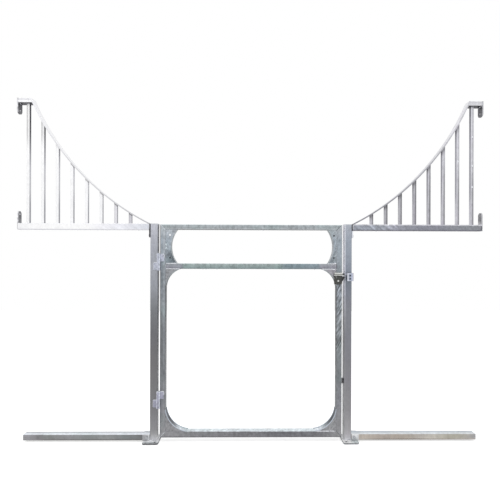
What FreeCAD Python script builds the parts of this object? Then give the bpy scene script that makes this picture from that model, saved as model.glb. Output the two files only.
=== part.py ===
# Stall-front panel with a centre gate: a galvanised tube frame, two winged infill fields under
# curved top bars, and a swinging gate leaf with weld-on hinges and a sliding bolt latch.
# Frame: X across the panel (+X towards the latch side), Y through it (-Y is the side the gate
# opens to), Z up. The origin is on the floor at the middle of the panel. Millimetres.
import FreeCAD, Part
import os
import math
import Sketcher

DRIVING_SIZES = {
    # overall panel
    "panel_width": 3000, "panel_height": 2200, "gate_opening": 1200, "post_height": 1400,
    "frame_depth": 50,
    # gate posts and their feet
    "post_width": 48, "post_wall": 3, "tube_corner": 4, "cap_thickness": 3,
    "foot_length": 100, "foot_depth": 140, "foot_thickness": 10, "foot_corner": 12,
    "foot_overhang": 12, "anchor_hole": 14, "anchor_spacing": 100, "anchor_inset": 22,
    # floor rails
    "floor_rail_height": 38, "floor_rail_setback": 45, "rail_wall": 3,
    "ear_length": 45, "ear_height": 38, "ear_thickness": 6, "ear_gap": 1, "ear_bolt_offset": 17,
    # wing rails and their bolted end plates
    "wing_rail_height": 40, "end_plate_thickness": 8, "end_plate_height": 88, "end_bolt_drop": 75,
    # curved top bars, top tubes and infill bars
    "curve_radius": 1610, "curve_thickness": 8, "top_tube_length": 92, "top_tube_height": 30,
    "bar_count": 8, "bar_size": 20, "bar_wall": 2, "bar_corner": 2,
    "first_bar_offset": 133, "last_bar_inset": 64,
    # coupling lugs at the panel's two ends
    "lug_thickness": 8, "upper_lug_drop": 97, "lower_lug_rise": 119, "lower_lug_depth": 38,
    "lug_hole": 14,
    # bolts
    "bolt_diameter": 10, "bolt_hole": 11, "hex_width": 17, "head_height": 6.4, "nut_height": 8,
    "thread_stand_out": 3, "small_bolt": 8, "small_hex_width": 13, "small_head_height": 5.3,
    "small_bolt_hole": 9, "small_nut_height": 6.5,
    # gate leaf
    "gate_gap": 15, "gate_floor_gap": 27, "gate_top_gap": 5, "stop_gap": 1, "stile_width": 35,
    "top_rail_height": 32, "middle_rail_height": 35, "bottom_rail_height": 40, "gate_wall": 2.5,
    "upper_field_height": 218,
    "gusset_sheet": 3, "gusset_inset": 1.5,
    "hinge_gusset_reach": 72, "hinge_gusset_waist": 34, "hinge_gusset_hole_inset": 30,
    "latch_gusset_reach": 54, "latch_gusset_waist": 20, "latch_gusset_hole_inset": 18,
    "middle_gusset_reach": 92, "middle_gusset_drop": 108, "middle_gusset_radius": 125,
    "lower_gusset_reach": 140, "lower_gusset_radius": 160, "gusset_hole": 10, "gusset_hole_rise": 38,
    # hinges
    "hinge_stand_off": 11, "knuckle_diameter": 23, "pin_diameter": 12, "pin_clearance": 0.05,
    "knuckle_length": 54, "knuckle_gap": 0.5, "strap_thickness": 5, "strap_length": 34,
    "strap_height": 46, "pin_head": 3, "pin_head_overhang": 2,
    "upper_hinge_drop": 296, "lower_hinge_rise": 192,
    # sliding bolt latch and its keeper
    "latch_drop": 33, "latch_stand_off": 12, "latch_diameter": 14, "latch_clearance": 0.05,
    "latch_length": 75, "latch_travel": 20, "latch_tail": 2, "barrel_diameter": 20,
    "barrel_length": 51, "barrel_edge": 1, "guide_thickness": 4, "guide_drop": 62,
    "guide_rise": 12, "pivot_drop": 41, "pivot_offset": 31, "pivot_journal": 8,
    "pivot_shoulder": 13, "pivot_head": 11, "pivot_head_height": 4.5, "pivot_clearance": 0.05,
    "lever_thickness": 4, "lever_play": 0.8, "lever_rise": 28.5, "lever_left": 26,
    "lever_right": 50, "lever_drop": 24, "lever_foot": 12, "lever_corner": 7,
    "drive_rise": 20, "drive_pin": 5, "drive_play": 0.8, "drive_stand_out": 2,
    "tang_width": 8, "tang_depth": 6, "tang_play": 0.6,
    "keeper_length": 35, "keeper_thickness": 5, "keeper_below": 42, "keeper_above": 9,
    "keeper_pocket": 22, "keeper_leg": 54, "keeper_hole": 9, "keeper_hole_pitch": 20,
    "keeper_hole_drop": 7, "keeper_bolt_back": 14, "keeper_bolt_pitch": 28,
    # gate stop behind the latch stile
    "stop_length": 60, "stop_overlap": 25, "stop_height": 36, "stop_thickness": 6,
    "stop_rise": 333,
}

# Places worked out from the driving sizes, each a formula in sheet cells or earlier places.
WORKED_PLACES = {
    "front": "-sizes.frame_depth / 2",
    "back": "sizes.frame_depth / 2",
    "post_inner": "sizes.gate_opening / 2",
    "post_outer": "places.post_inner + sizes.post_width",
    "panel_end": "sizes.panel_width / 2",
    "foot_inner": "places.post_inner - sizes.foot_overhang",
    "cap_bottom": "sizes.post_height - sizes.cap_thickness",
    # floor rails and their ears
    "floor_rail_length": "places.panel_end - sizes.floor_rail_setback - places.post_outer",
    "ear_x": "places.post_outer + sizes.ear_gap",
    "rail_bolt_x": "places.ear_x + sizes.ear_bolt_offset",
    "rail_bolt_z": "sizes.foot_thickness + sizes.floor_rail_height / 2",
    # wing rails
    "wing_rail_bottom": "sizes.post_height - sizes.wing_rail_height",
    "wing_rail_start": "places.post_outer + sizes.end_plate_thickness",
    "end_bolt_z": "sizes.post_height - sizes.end_bolt_drop",
    "lug_face": "places.panel_end - sizes.lug_thickness",
    "bar_pitch": "(places.panel_end - sizes.last_bar_inset - places.post_outer"
                 " - sizes.first_bar_offset) / (sizes.bar_count - 1)",
    # curved top bar: an arc whose upper face runs from the post top to the top tube
    "top_tube_bottom": "sizes.panel_height - sizes.top_tube_height",
    "curve_end": "places.panel_end - sizes.top_tube_length",
    "curve_run": "places.curve_end - places.post_outer",
    "curve_rise": "sizes.panel_height - sizes.post_height",
    "curve_chord": "sqrt(places.curve_run ^ 2 + places.curve_rise ^ 2)",
    "curve_depth": "sqrt(sizes.curve_radius ^ 2 - places.curve_chord ^ 2 / 4)",
    "curve_x": "places.post_outer + places.curve_run / 2"
               " - places.curve_depth * places.curve_rise / places.curve_chord",
    "curve_z": "sizes.post_height + places.curve_rise / 2"
               " + places.curve_depth * places.curve_run / places.curve_chord",
    "curve_under": "sizes.curve_radius + sizes.curve_thickness",
    "curve_foot": "places.curve_x"
                  " + sqrt(places.curve_under ^ 2 - (places.curve_z - sizes.post_height) ^ 2)",
    "curve_top": "places.curve_x"
                 " + sqrt(places.curve_under ^ 2 - (places.curve_z - sizes.panel_height) ^ 2)",
    # gate leaf
    "leaf_front": "places.front - sizes.stop_gap",
    "leaf_middle": "-sizes.stop_gap",
    "leaf_outer": "places.post_inner - sizes.gate_gap",
    "stile_inner": "places.leaf_outer - sizes.stile_width",
    "leaf_top": "sizes.post_height - sizes.gate_top_gap",
    "top_rail_under": "places.leaf_top - sizes.top_rail_height",
    "bottom_rail_top": "sizes.gate_floor_gap + sizes.bottom_rail_height",
    "middle_rail_top": "places.top_rail_under - sizes.upper_field_height",
    "middle_rail_under": "places.middle_rail_top - sizes.middle_rail_height",
    "gusset_depth": "sizes.frame_depth - 2 * sizes.gusset_inset",
    "hollow_depth": "places.gusset_depth - 2 * sizes.gusset_sheet",
    # hinges
    "hinge_x": "-(places.post_inner + places.leaf_outer) / 2",
    "hinge_y": "places.front - sizes.hinge_stand_off",
    "upper_hinge_bottom": "places.leaf_top - sizes.upper_hinge_drop",
    "lower_hinge_bottom": "sizes.gate_floor_gap + sizes.lower_hinge_rise",
    # latch
    "latch_z": "places.middle_rail_under - sizes.latch_drop",
    "latch_y": "places.leaf_front - sizes.latch_stand_off",
    "barrel_start": "places.leaf_outer - sizes.barrel_edge - sizes.barrel_length",
    "guide_front": "places.leaf_front - sizes.guide_thickness",
    "pivot_x": "places.leaf_outer - sizes.pivot_offset",
    "pivot_z": "places.latch_z - sizes.pivot_drop",
    "drive_x": "places.pivot_x - sizes.latch_travel / 2",
    "drive_z": "places.pivot_z + sizes.drive_rise",
    "lever_back": "places.latch_y - sizes.latch_diameter / 2 - sizes.lever_play",
    "lever_front": "places.lever_back - sizes.lever_thickness",
    # keeper
    "keeper_bottom": "places.latch_z - sizes.keeper_below",
    "keeper_height": "sizes.keeper_below + sizes.keeper_above",
    "keeper_front": "places.front - sizes.keeper_pocket - sizes.keeper_thickness",
    # gate stop
    "stop_bottom": "sizes.gate_floor_gap + sizes.stop_rise",
}

# Turns that lay a shape drawn along +Z onto another direction.
ALONG_X = FreeCAD.Rotation(FreeCAD.Vector(0, 1, 0), 90)
ALONG_Y = FreeCAD.Rotation(FreeCAD.Vector(1, 0, 0), -90)
ALONG_Z = FreeCAD.Rotation()

doc = FreeCAD.newDocument("stall_front_gate")
nodes = []


def make_sheet():
    sheet = doc.addObject("Spreadsheet::Sheet", "sizes")
    for row, (alias, size) in enumerate(DRIVING_SIZES.items(), start=1):
        sheet.set(f"A{row}", alias)
        sheet.set(f"B{row}", str(size))
        sheet.setAlias(f"B{row}", alias)
    doc.recompute()


def make_places():
    places = doc.addObject("App::VarSet", "places")
    for name in WORKED_PLACES:
        places.addProperty("App::PropertyFloat", name, "Places")
    for name, formula in WORKED_PLACES.items():
        places.setExpression(name, formula.replace("places.", ""))
    doc.recompute()


def number(formula):
    """The present value of a formula in sizes and places."""
    return float(doc.getObject("places").evalExpression(str(formula)))


def bind(item, **formulas):
    for name, formula in formulas.items():
        item.setExpression(name, str(formula))


def place(item, x=0, y=0, z=0, turn=ALONG_Z):
    item.Placement = FreeCAD.Placement(FreeCAD.Vector(), turn)
    for axis, formula in zip("xyz", (x, y, z)):
        item.setExpression(f"Placement.Base.{axis}", str(formula))


def add_node(item, label):
    item.Label = label
    nodes.append(item)


# Primitives and booleans

def box(name, length, depth, height, x, y, z):
    item = doc.addObject("Part::Box", name)
    bind(item, Length=length, Width=depth, Height=height)
    place(item, x, y, z)
    return item


def cylinder(name, diameter, length, turn, x, y, z):
    item = doc.addObject("Part::Cylinder", name)
    bind(item, Radius=f"({diameter}) / 2", Height=length)
    place(item, x, y, z, turn)
    return item


def hexagon(name, width, length, turn, x, y, z):
    item = doc.addObject("Part::Prism", name)
    item.Polygon = 6
    bind(item, Circumradius=f"({width}) / 2 / cos(30)", Height=length)
    place(item, x, y, z, turn)
    return item


def fuse(name, *items):
    item = doc.addObject("Part::MultiFuse", name)
    item.Shapes = list(items)
    item.Refine = True
    return item


def cut(name, base, *tools):
    item = doc.addObject("Part::Cut", name)
    item.Base = base
    item.Tool = tools[0] if len(tools) == 1 else fuse(f"{name}_tools", *tools)
    return item


def group(label, *items):
    item = doc.addObject("Part::Compound", label)
    item.Links = list(items)
    add_node(item, label)


def mirror(source):
    item = doc.addObject("Part::Mirroring", f"{source.Name}_mirrored")
    item.Source = source
    item.Normal = FreeCAD.Vector(1, 0, 0)
    return item


def pair(source, stem):
    """The same piece on the right and, mirrored, on the left, as two nodes."""
    add_node(source, f"{stem}_right")
    add_node(mirror(source), f"{stem}_left")


def pair_group(label, *items):
    """Small identical pieces of both sides in one node."""
    group(label, *items, *(mirror(item) for item in items))


# Sketch and body helpers

def new_sketch(body, role, name):
    sketch = body.newObject("Sketcher::SketchObject", name)
    plane = next(feature for feature in body.Origin.OriginFeatures if feature.Role == role)
    sketch.AttachmentSupport = [(plane, "")]
    sketch.MapMode = "FlatFace"
    return sketch


def hold_size(sketch, kind, formula, *geometry):
    index = sketch.addConstraint(Sketcher.Constraint(kind, *geometry, number(formula)))
    sketch.setExpression(f"Constraints[{index}]", str(formula))


def hold_point(sketch, geometry, point, x, y):
    """Hold one sketch point at formulas x, y from the sketch origin."""
    for kind, axis, formula in (("DistanceX", -2, x), ("DistanceY", -1, y)):
        if formula == 0:
            sketch.addConstraint(Sketcher.Constraint("PointOnObject", geometry, point, axis))
        else:
            hold_size(sketch, kind, formula, -1, 1, geometry, point)


def add_rectangle(sketch, width, height):
    """Rectangle centred on the sketch origin."""
    right, top = number(width) / 2, number(height) / 2
    corners = [(-right, -top), (right, -top), (right, top), (-right, top)]
    points = [FreeCAD.Vector(x, y, 0) for x, y in corners]
    lines = [sketch.addGeometry(Part.LineSegment(points[i], points[(i + 1) % 4])) for i in range(4)]
    for here, after in zip(lines, lines[1:] + lines[:1]):
        sketch.addConstraint(Sketcher.Constraint("Coincident", here, 2, after, 1))
    for line in lines[0::2]:
        sketch.addConstraint(Sketcher.Constraint("Horizontal", line))
    for line in lines[1::2]:
        sketch.addConstraint(Sketcher.Constraint("Vertical", line))
    sketch.addConstraint(Sketcher.Constraint("Symmetric", lines[0], 1, lines[2], 1, -1, 1))
    hold_size(sketch, "DistanceX", width, lines[0], 1, lines[0], 2)
    hold_size(sketch, "DistanceY", height, lines[1], 1, lines[1], 2)


def add_circle(sketch, diameter, x, y):
    centre = FreeCAD.Vector(number(x), number(y), 0)
    circle = sketch.addGeometry(Part.Circle(centre, FreeCAD.Vector(0, 0, 1), number(diameter) / 2))
    hold_size(sketch, "Diameter", diameter, circle)
    hold_point(sketch, circle, 3, x, y)


def add_outline(sketch, corners, arcs):
    """Closed outline through corners; arcs maps a side's number to its radius and centre."""
    points = [FreeCAD.Vector(number(x), number(y), 0) for x, y in corners]
    ends = []
    for side, start in enumerate(points):
        end = points[(side + 1) % len(points)]
        if side not in arcs:
            line = sketch.addGeometry(Part.LineSegment(start, end))
            ends.append((line, 1, 2))
            continue
        radius, x, y = arcs[side]
        centre = FreeCAD.Vector(number(x), number(y), 0)
        angles = [math.atan2(p.y - centre.y, p.x - centre.x) for p in (start, end)]
        forward = (angles[1] - angles[0]) % (2 * math.pi) < math.pi
        first, last = angles if forward else reversed(angles)
        circle = Part.Circle(centre, FreeCAD.Vector(0, 0, 1), number(radius))
        arc = sketch.addGeometry(Part.ArcOfCircle(circle, first, last))
        hold_size(sketch, "Radius", radius, arc)
        ends.append((arc, 1, 2) if forward else (arc, 2, 1))
    for here, after in zip(ends, ends[1:] + ends[:1]):
        sketch.addConstraint(Sketcher.Constraint("Coincident", here[0], here[2], after[0], after[1]))
    for (geometry, start, _), (x, y) in zip(ends, corners):
        hold_point(sketch, geometry, start, x, y)


def add_pad(body, sketch, length, both_ways=False):
    pad = body.newObject("PartDesign::Pad", f"{body.Name}_pad")
    pad.Profile = sketch
    pad.SideType = "Symmetric" if both_ways else "One side"
    bind(pad, Length=length)
    sketch.Visibility = False
    doc.recompute()
    return pad


def add_pocket(body, sketch, length=None):
    """Cut a sketch out of the body: right through, or to a depth that is equal both ways."""
    before = body.Shape.Volume
    pocket = body.newObject("PartDesign::Pocket", f"{sketch.Name}_pocket")
    pocket.Profile = sketch
    pocket.SideType = "Symmetric"
    if length is None:
        pocket.Type = "ThroughAll"
    else:
        bind(pocket, Length=length)
    doc.recompute()
    if body.Shape.Volume >= before:
        raise RuntimeError(f"{sketch.Name} cuts nothing")


def round_edges(body, feature, direction, radius, count):
    """Fillet the outermost edges that run along a direction, count of them."""
    named = [(f"Edge{i}", edge) for i, edge in enumerate(feature.Shape.Edges, start=1)]
    middle = feature.Shape.BoundBox.Center
    along = []
    for name, edge in named:
        if len(edge.Vertexes) != 2:
            continue
        run = edge.Vertexes[1].Point - edge.Vertexes[0].Point
        if abs(run.normalize().dot(direction)) > 0.999:
            arm = edge.CenterOfMass - middle
            along.append(((arm - direction * arm.dot(direction)).Length, name))
    outer = sorted(along, reverse=True)[:count]
    fillet = body.newObject("PartDesign::Fillet", f"{body.Name}_fillet")
    fillet.Base = (feature, [name for _, name in outer])
    bind(fillet, Radius=radius)
    body.Tip = fillet
    doc.recompute()


def tube(name, role, width, height, length, wall, corner):
    """Rectangular tube centred on a line that starts at the body's origin."""
    body = doc.addObject("PartDesign::Body", name)
    sketch = new_sketch(body, role, f"{name}_section")
    add_rectangle(sketch, width, height)
    add_rectangle(sketch, f"{width} - 2 * {wall}", f"{height} - 2 * {wall}")
    pad = add_pad(body, sketch, length)
    direction = FreeCAD.Vector(0, 0, 1) if role == "XY_Plane" else FreeCAD.Vector(1, 0, 0)
    round_edges(body, pad, direction, corner, 4)
    return body


def upright_tube(name, width, depth, length, wall, corner, x, y, z):
    body = tube(name, "XY_Plane", width, depth, length, wall, corner)
    place(body, x, y, z)
    return body


def level_tube(name, depth, height, length, wall, corner, x, y, z):
    """Tube along +X from x, with its underside at z."""
    body = tube(name, "YZ_Plane", depth, height, length, wall, corner)
    place(body, x, y, f"{z} + {height} / 2")
    return body


# Gate posts and their feet

def make_posts():
    post = upright_tube("post", "sizes.post_width", "sizes.frame_depth",
                        "places.cap_bottom - sizes.foot_thickness",
                        "sizes.post_wall", "sizes.tube_corner",
                        "places.post_inner + sizes.post_width / 2", 0, "sizes.foot_thickness")
    end_hole = cylinder("end_bolt_hole", "sizes.bolt_hole", "sizes.post_width / 2", ALONG_X,
                        "places.post_outer - sizes.post_width / 2", 0, "places.end_bolt_z")
    drilled = cut("post_drilled", post, end_hole)
    add_node(mirror(drilled), "post_left")
    keeper_holes = [
        cylinder("keeper_bolt_hole", "sizes.small_bolt_hole", "sizes.post_width / 2", ALONG_X,
                 "places.post_outer - sizes.post_width / 2", keeper_bolt_y(), z)
        for z in keeper_bolt_heights()
    ]
    add_node(cut("post_with_keeper_holes", drilled, *keeper_holes), "post_right")


def make_post_caps():
    cap = box("post_cap", "sizes.post_width", "sizes.frame_depth", "sizes.cap_thickness",
              "places.post_inner", "places.front", "places.cap_bottom")
    pair_group("post_caps", cap)


def make_base_plates():
    body = doc.addObject("PartDesign::Body", "base_plate")
    outline = new_sketch(body, "XY_Plane", "base_plate_outline")
    add_rectangle(outline, "sizes.foot_length", "sizes.foot_depth")
    pad = add_pad(body, outline, "sizes.foot_thickness")
    round_edges(body, pad, FreeCAD.Vector(0, 0, 1), "sizes.foot_corner", 4)
    holes = new_sketch(body, "XY_Plane", "base_plate_holes")
    for sign in ("-", ""):
        add_circle(holes, "sizes.anchor_hole", "sizes.anchor_inset - sizes.foot_length / 2",
                   f"{sign}sizes.anchor_spacing / 2")
    add_pocket(body, holes)
    place(body, "places.foot_inner + sizes.foot_length / 2", 0, 0)
    pair(body, "base_plate")


# Floor rails, held between two ears on each foot by a cross bolt

def make_floor_rails():
    rail = level_tube("floor_rail_tube", "sizes.frame_depth", "sizes.floor_rail_height",
                      "places.floor_rail_length", "sizes.rail_wall", "sizes.tube_corner",
                      "places.post_outer", 0, "sizes.foot_thickness")
    hole = cylinder("floor_rail_hole", "sizes.bolt_hole", "sizes.frame_depth * 2", ALONG_Y,
                    "places.rail_bolt_x", "-sizes.frame_depth", "places.rail_bolt_z")
    pair(cut("floor_rail", rail, hole), "floor_rail")


def make_rail_ears():
    ears = []
    for side, y in (("front", "places.front - sizes.ear_thickness"), ("rear", "places.back")):
        plate = box(f"ear_plate_{side}", "sizes.ear_length", "sizes.ear_thickness",
                    "sizes.ear_height", "places.ear_x", y, "sizes.foot_thickness")
        hole = cylinder(f"ear_hole_{side}", "sizes.bolt_hole", "sizes.ear_thickness * 3", ALONG_Y,
                        "places.rail_bolt_x", f"{y} - sizes.ear_thickness", "places.rail_bolt_z")
        ears.append(cut(f"ear_{side}", plate, hole))
    group("rail_ears_right", *ears)
    group("rail_ears_left", *(mirror(ear) for ear in ears))


def make_rail_bolts():
    ear_front = "places.front - sizes.ear_thickness"
    grip = "(sizes.frame_depth + 2 * sizes.ear_thickness)"
    head = hexagon("rail_bolt_head", "sizes.hex_width", "sizes.head_height", ALONG_Y,
                   "places.rail_bolt_x", f"{ear_front} - sizes.head_height", "places.rail_bolt_z")
    shank = cylinder("rail_bolt_shank", "sizes.bolt_diameter",
                     f"{grip} + sizes.nut_height + sizes.thread_stand_out", ALONG_Y,
                     "places.rail_bolt_x", ear_front, "places.rail_bolt_z")
    nut = hexagon("rail_nut_blank", "sizes.hex_width", "sizes.nut_height", ALONG_Y,
                  "places.rail_bolt_x", f"{ear_front} + {grip}", "places.rail_bolt_z")
    pair_group("rail_bolts", fuse("rail_bolt", head, shank), cut("rail_nut", nut, shank))


# Wing rails, their bolted end plates and the coupling lugs at the panel's ends

def make_wing_rails():
    rail = level_tube("wing_rail", "sizes.frame_depth", "sizes.wing_rail_height",
                      "places.lug_face - places.wing_rail_start", "sizes.rail_wall",
                      "sizes.tube_corner", "places.wing_rail_start", 0, "places.wing_rail_bottom")
    pair(rail, "wing_rail")


def make_end_plates():
    plate = box("end_plate_blank", "sizes.end_plate_thickness", "sizes.frame_depth",
                "sizes.end_plate_height", "places.post_outer", "places.front",
                "sizes.post_height - sizes.end_plate_height")
    hole = cylinder("end_plate_hole", "sizes.bolt_hole", "sizes.end_plate_thickness * 3", ALONG_X,
                    "places.post_outer - sizes.end_plate_thickness", 0, "places.end_bolt_z")
    pair_group("wing_end_plates", cut("end_plate", plate, hole))


def make_wing_bolts():
    wall_inside = "places.post_outer - sizes.post_wall"
    head = hexagon("wing_bolt_head", "sizes.hex_width", "sizes.head_height", ALONG_X,
                   "places.wing_rail_start", 0, "places.end_bolt_z")
    shank_length = ("sizes.end_plate_thickness + sizes.post_wall + sizes.nut_height"
                    " + sizes.thread_stand_out")
    shank = cylinder("wing_bolt_shank", "sizes.bolt_diameter", shank_length, ALONG_X,
                     f"places.wing_rail_start - ({shank_length})", 0, "places.end_bolt_z")
    nut = hexagon("wing_nut_blank", "sizes.hex_width", "sizes.nut_height", ALONG_X,
                  f"{wall_inside} - sizes.nut_height", 0, "places.end_bolt_z")
    pair_group("wing_bolts", fuse("wing_bolt", head, shank), cut("wing_nut", nut, shank))


def lug(name, depth, reach, root, direction):
    """End lug: a plate that runs from z = root by reach, up (+1) or down (-1), to a round end."""
    straight = f"({reach} - {depth} / 2)"
    end_z = f"{root} + {straight}" if direction > 0 else f"{root} - {straight}"
    plate = box(f"{name}_plate", "sizes.lug_thickness", depth, straight,
                "places.lug_face", f"-{depth} / 2", root if direction > 0 else end_z)
    end = cylinder(f"{name}_end", depth, "sizes.lug_thickness", ALONG_X,
                   "places.lug_face", 0, end_z)
    hole = cylinder(f"{name}_hole", "sizes.lug_hole", "sizes.lug_thickness * 3", ALONG_X,
                    "places.lug_face - sizes.lug_thickness", 0, end_z)
    return cut(name, fuse(f"{name}_blank", plate, end), hole)


def make_lugs():
    pair_group("upper_lugs", lug("upper_lug", "sizes.frame_depth", "sizes.upper_lug_drop",
                                 "sizes.panel_height", -1))
    pair_group("lower_lugs", lug("lower_lug", "sizes.lower_lug_depth", "sizes.lower_lug_rise",
                                 "places.wing_rail_bottom", 1))


# Curved top bars, top tubes and infill bars

def make_curve_tool():
    """Cylinder that fills the arc down to the underside of the curved bar."""
    return cylinder("space_above_curve", "2 * places.curve_under", "sizes.frame_depth * 2", ALONG_Y,
                    "places.curve_x", "-sizes.frame_depth", "places.curve_z")


def make_curved_bars():
    body = doc.addObject("PartDesign::Body", "curved_bar")
    sketch = new_sketch(body, "XZ_Plane", "curved_bar_side")
    corners = [("places.post_outer", "sizes.post_height"), ("places.curve_foot", "sizes.post_height"),
               ("places.curve_top", "sizes.panel_height"), ("places.curve_end", "sizes.panel_height")]
    arcs = {1: ("places.curve_under", "places.curve_x", "places.curve_z"),
            3: ("sizes.curve_radius", "places.curve_x", "places.curve_z")}
    add_outline(sketch, corners, arcs)
    add_pad(body, sketch, "sizes.frame_depth", both_ways=True)
    pair(body, "curved_bar")


def make_top_tubes(curve_tool):
    blank = level_tube("top_tube_blank", "sizes.frame_depth", "sizes.top_tube_height",
                       "places.lug_face - places.curve_end + sizes.top_tube_height",
                       "sizes.rail_wall", "sizes.tube_corner",
                       "places.curve_end - sizes.top_tube_height", 0, "places.top_tube_bottom")
    pair(cut("top_tube", blank, curve_tool), "top_tube")


def make_infill_bars(curve_tool):
    for index in range(int(number("sizes.bar_count"))):
        x = f"places.post_outer + sizes.first_bar_offset + {index} * places.bar_pitch"
        blank = upright_tube(f"bar_blank_{index + 1}", "sizes.bar_size", "sizes.bar_size",
                             "places.top_tube_bottom - sizes.post_height", "sizes.bar_wall",
                             "sizes.bar_corner", x, 0, "sizes.post_height")
        pair(cut(f"infill_bar_{index + 1}", blank, curve_tool), f"infill_bar_{index + 1}")


# Gate leaf

def mitre_cut(level, waste):
    """Prism that takes the stile's or the rail's waste off the mitre of a top or bottom corner."""
    outer_z, inner_z = {"top": ("places.leaf_top", "places.top_rail_under"),
                        "bottom": ("sizes.gate_floor_gap", "places.bottom_rail_top")}[level]
    far_x, near_x = "places.leaf_outer + sizes.stile_width", "places.stile_inner - sizes.stile_width"
    far_z, near_z = f"2 * {outer_z} - {inner_z}", f"2 * {inner_z} - {outer_z}"
    spare = (near_x, far_z) if waste == "stile" else (far_x, near_z)
    body = doc.addObject("PartDesign::Body", f"{level}_mitre_{waste}")
    outline = new_sketch(body, "XZ_Plane", f"{level}_mitre_{waste}_outline")
    add_outline(outline, [(far_x, far_z), (near_x, near_z), spare], {})
    add_pad(body, outline, "sizes.frame_depth * 2", both_ways=True)
    return body


def make_stiles():
    blank = upright_tube("stile_blank", "sizes.stile_width", "sizes.frame_depth",
                         "places.leaf_top - sizes.gate_floor_gap", "sizes.gate_wall",
                         "sizes.tube_corner", "places.stile_inner + sizes.stile_width / 2",
                         "places.leaf_middle", "sizes.gate_floor_gap")
    stile = cut("stile", blank, mitre_cut("top", "stile"), mitre_cut("bottom", "stile"))
    add_node(stile, "gate_stile_latch_side")
    add_node(mirror(stile), "gate_stile_hinge_side")


def gate_rail(level, height, reach, z):
    return level_tube(f"{level}_rail_tube", "sizes.frame_depth", height,
                      f"2 * {reach}", "sizes.gate_wall", "sizes.tube_corner",
                      f"-{reach}", "places.leaf_middle", z)


def make_gate_rails():
    for level, height, z in (("top", "sizes.top_rail_height", "places.top_rail_under"),
                             ("bottom", "sizes.bottom_rail_height", "sizes.gate_floor_gap")):
        waste = mitre_cut(level, "rail")
        rail = cut(f"mitred_rail_{level}", gate_rail(level, height, "places.leaf_outer", z),
                   waste, mirror(waste))
        add_node(rail, f"gate_rail_{level}")
    middle = gate_rail("middle", "sizes.middle_rail_height", "places.stile_inner",
                       "places.middle_rail_under")
    add_node(middle, "gate_rail_middle")


def gusset(name, outer, inner, holes=()):
    """Box gusset: two faces and a curved edge strip, hollow towards the stile and the rails."""
    body = doc.addObject("PartDesign::Body", name)
    face = new_sketch(body, "XZ_Plane", f"{name}_face")
    add_outline(face, *outer)
    add_pad(body, face, "places.gusset_depth", both_ways=True)
    hollow = new_sketch(body, "XZ_Plane", f"{name}_hollow")
    add_outline(hollow, *inner)
    add_pocket(body, hollow, "places.hollow_depth")
    if holes:
        drilling = new_sketch(body, "XZ_Plane", f"{name}_holes")
        for x, z in holes:
            add_circle(drilling, "sizes.gusset_hole", x, z)
        add_pocket(body, drilling)
    return body


def upper_gusset(side):
    """Gusset as tall as the upper field: full reach at both ends, bowed in to a waist between."""
    tall = "sizes.upper_field_height"
    reach, waist = f"sizes.{side}_gusset_reach", f"sizes.{side}_gusset_waist"
    hole_inset = f"-sizes.{side}_gusset_hole_inset"
    radius = f"(({tall} ^ 2 / 4 + ({reach} - {waist}) ^ 2) / (2 * ({reach} - {waist})))"
    centre = f"-({waist} + {radius})"
    inner_radius = f"({radius} + sizes.gusset_sheet)"
    inner_reach = f"({waist} + {radius} - sqrt({inner_radius} ^ 2 - {tall} ^ 2 / 4))"
    arc_middle = f"{tall} / 2"
    outer = ([(0, 0), (0, tall), (f"-{reach}", tall), (f"-{reach}", 0)],
             {2: (radius, centre, arc_middle)})
    inner = ([(0, 0), (0, tall), (f"-{inner_reach}", tall), (f"-{inner_reach}", 0)],
             {2: (inner_radius, centre, arc_middle)})
    holes = [(hole_inset, "sizes.gusset_hole_rise"),
             (hole_inset, f"{tall} - sizes.gusset_hole_rise")]
    body = gusset(f"upper_gusset_{side}_side", outer, inner, holes)
    place(body, "places.stile_inner", "places.leaf_middle", "places.middle_rail_top")
    return body


def make_corner_gussets(stem, reach, rise, radius, direction, z):
    """Corner gusset between a rail and the stile, below (-1) or above (+1) the rail."""
    chord = f"sqrt({reach} ^ 2 + {rise} ^ 2)"
    depth = f"sqrt({radius} ^ 2 - {chord} ^ 2 / 4)"
    centre_x = f"({reach} / 2 + {rise} * {depth} / {chord})"
    centre_z = f"({rise} / 2 + {reach} * {depth} / {chord})"
    inner_radius = f"({radius} + sizes.gusset_sheet)"
    inner_reach = f"({centre_x} - sqrt({inner_radius} ^ 2 - {centre_z} ^ 2))"
    inner_rise = f"({centre_z} - sqrt({inner_radius} ^ 2 - {centre_x} ^ 2))"
    sign = "" if direction > 0 else "-"
    profiles = []
    for along, up, bend in ((reach, rise, radius), (inner_reach, inner_rise, inner_radius)):
        corners = [(0, 0), (f"-{along}", 0), (0, f"{sign}{up}")]
        profiles.append((corners, {1: (bend, f"-{centre_x}", f"{sign}{centre_z}")}))
    body = gusset(stem, *profiles)
    place(body, "places.stile_inner", "places.leaf_middle", z)
    pair(body, stem)


def make_gussets():
    add_node(upper_gusset("latch"), "upper_gusset_right")
    add_node(mirror(upper_gusset("hinge")), "upper_gusset_left")
    make_corner_gussets("middle_gusset", "sizes.middle_gusset_reach", "sizes.middle_gusset_drop",
                        "sizes.middle_gusset_radius", -1, "places.middle_rail_under")
    make_corner_gussets("lower_gusset", "sizes.lower_gusset_reach", "sizes.lower_gusset_reach",
                        "sizes.lower_gusset_radius", 1, "places.bottom_rail_top")


# Hinges: the lower half is on the post and carries the pin, the upper half turns on it

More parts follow.
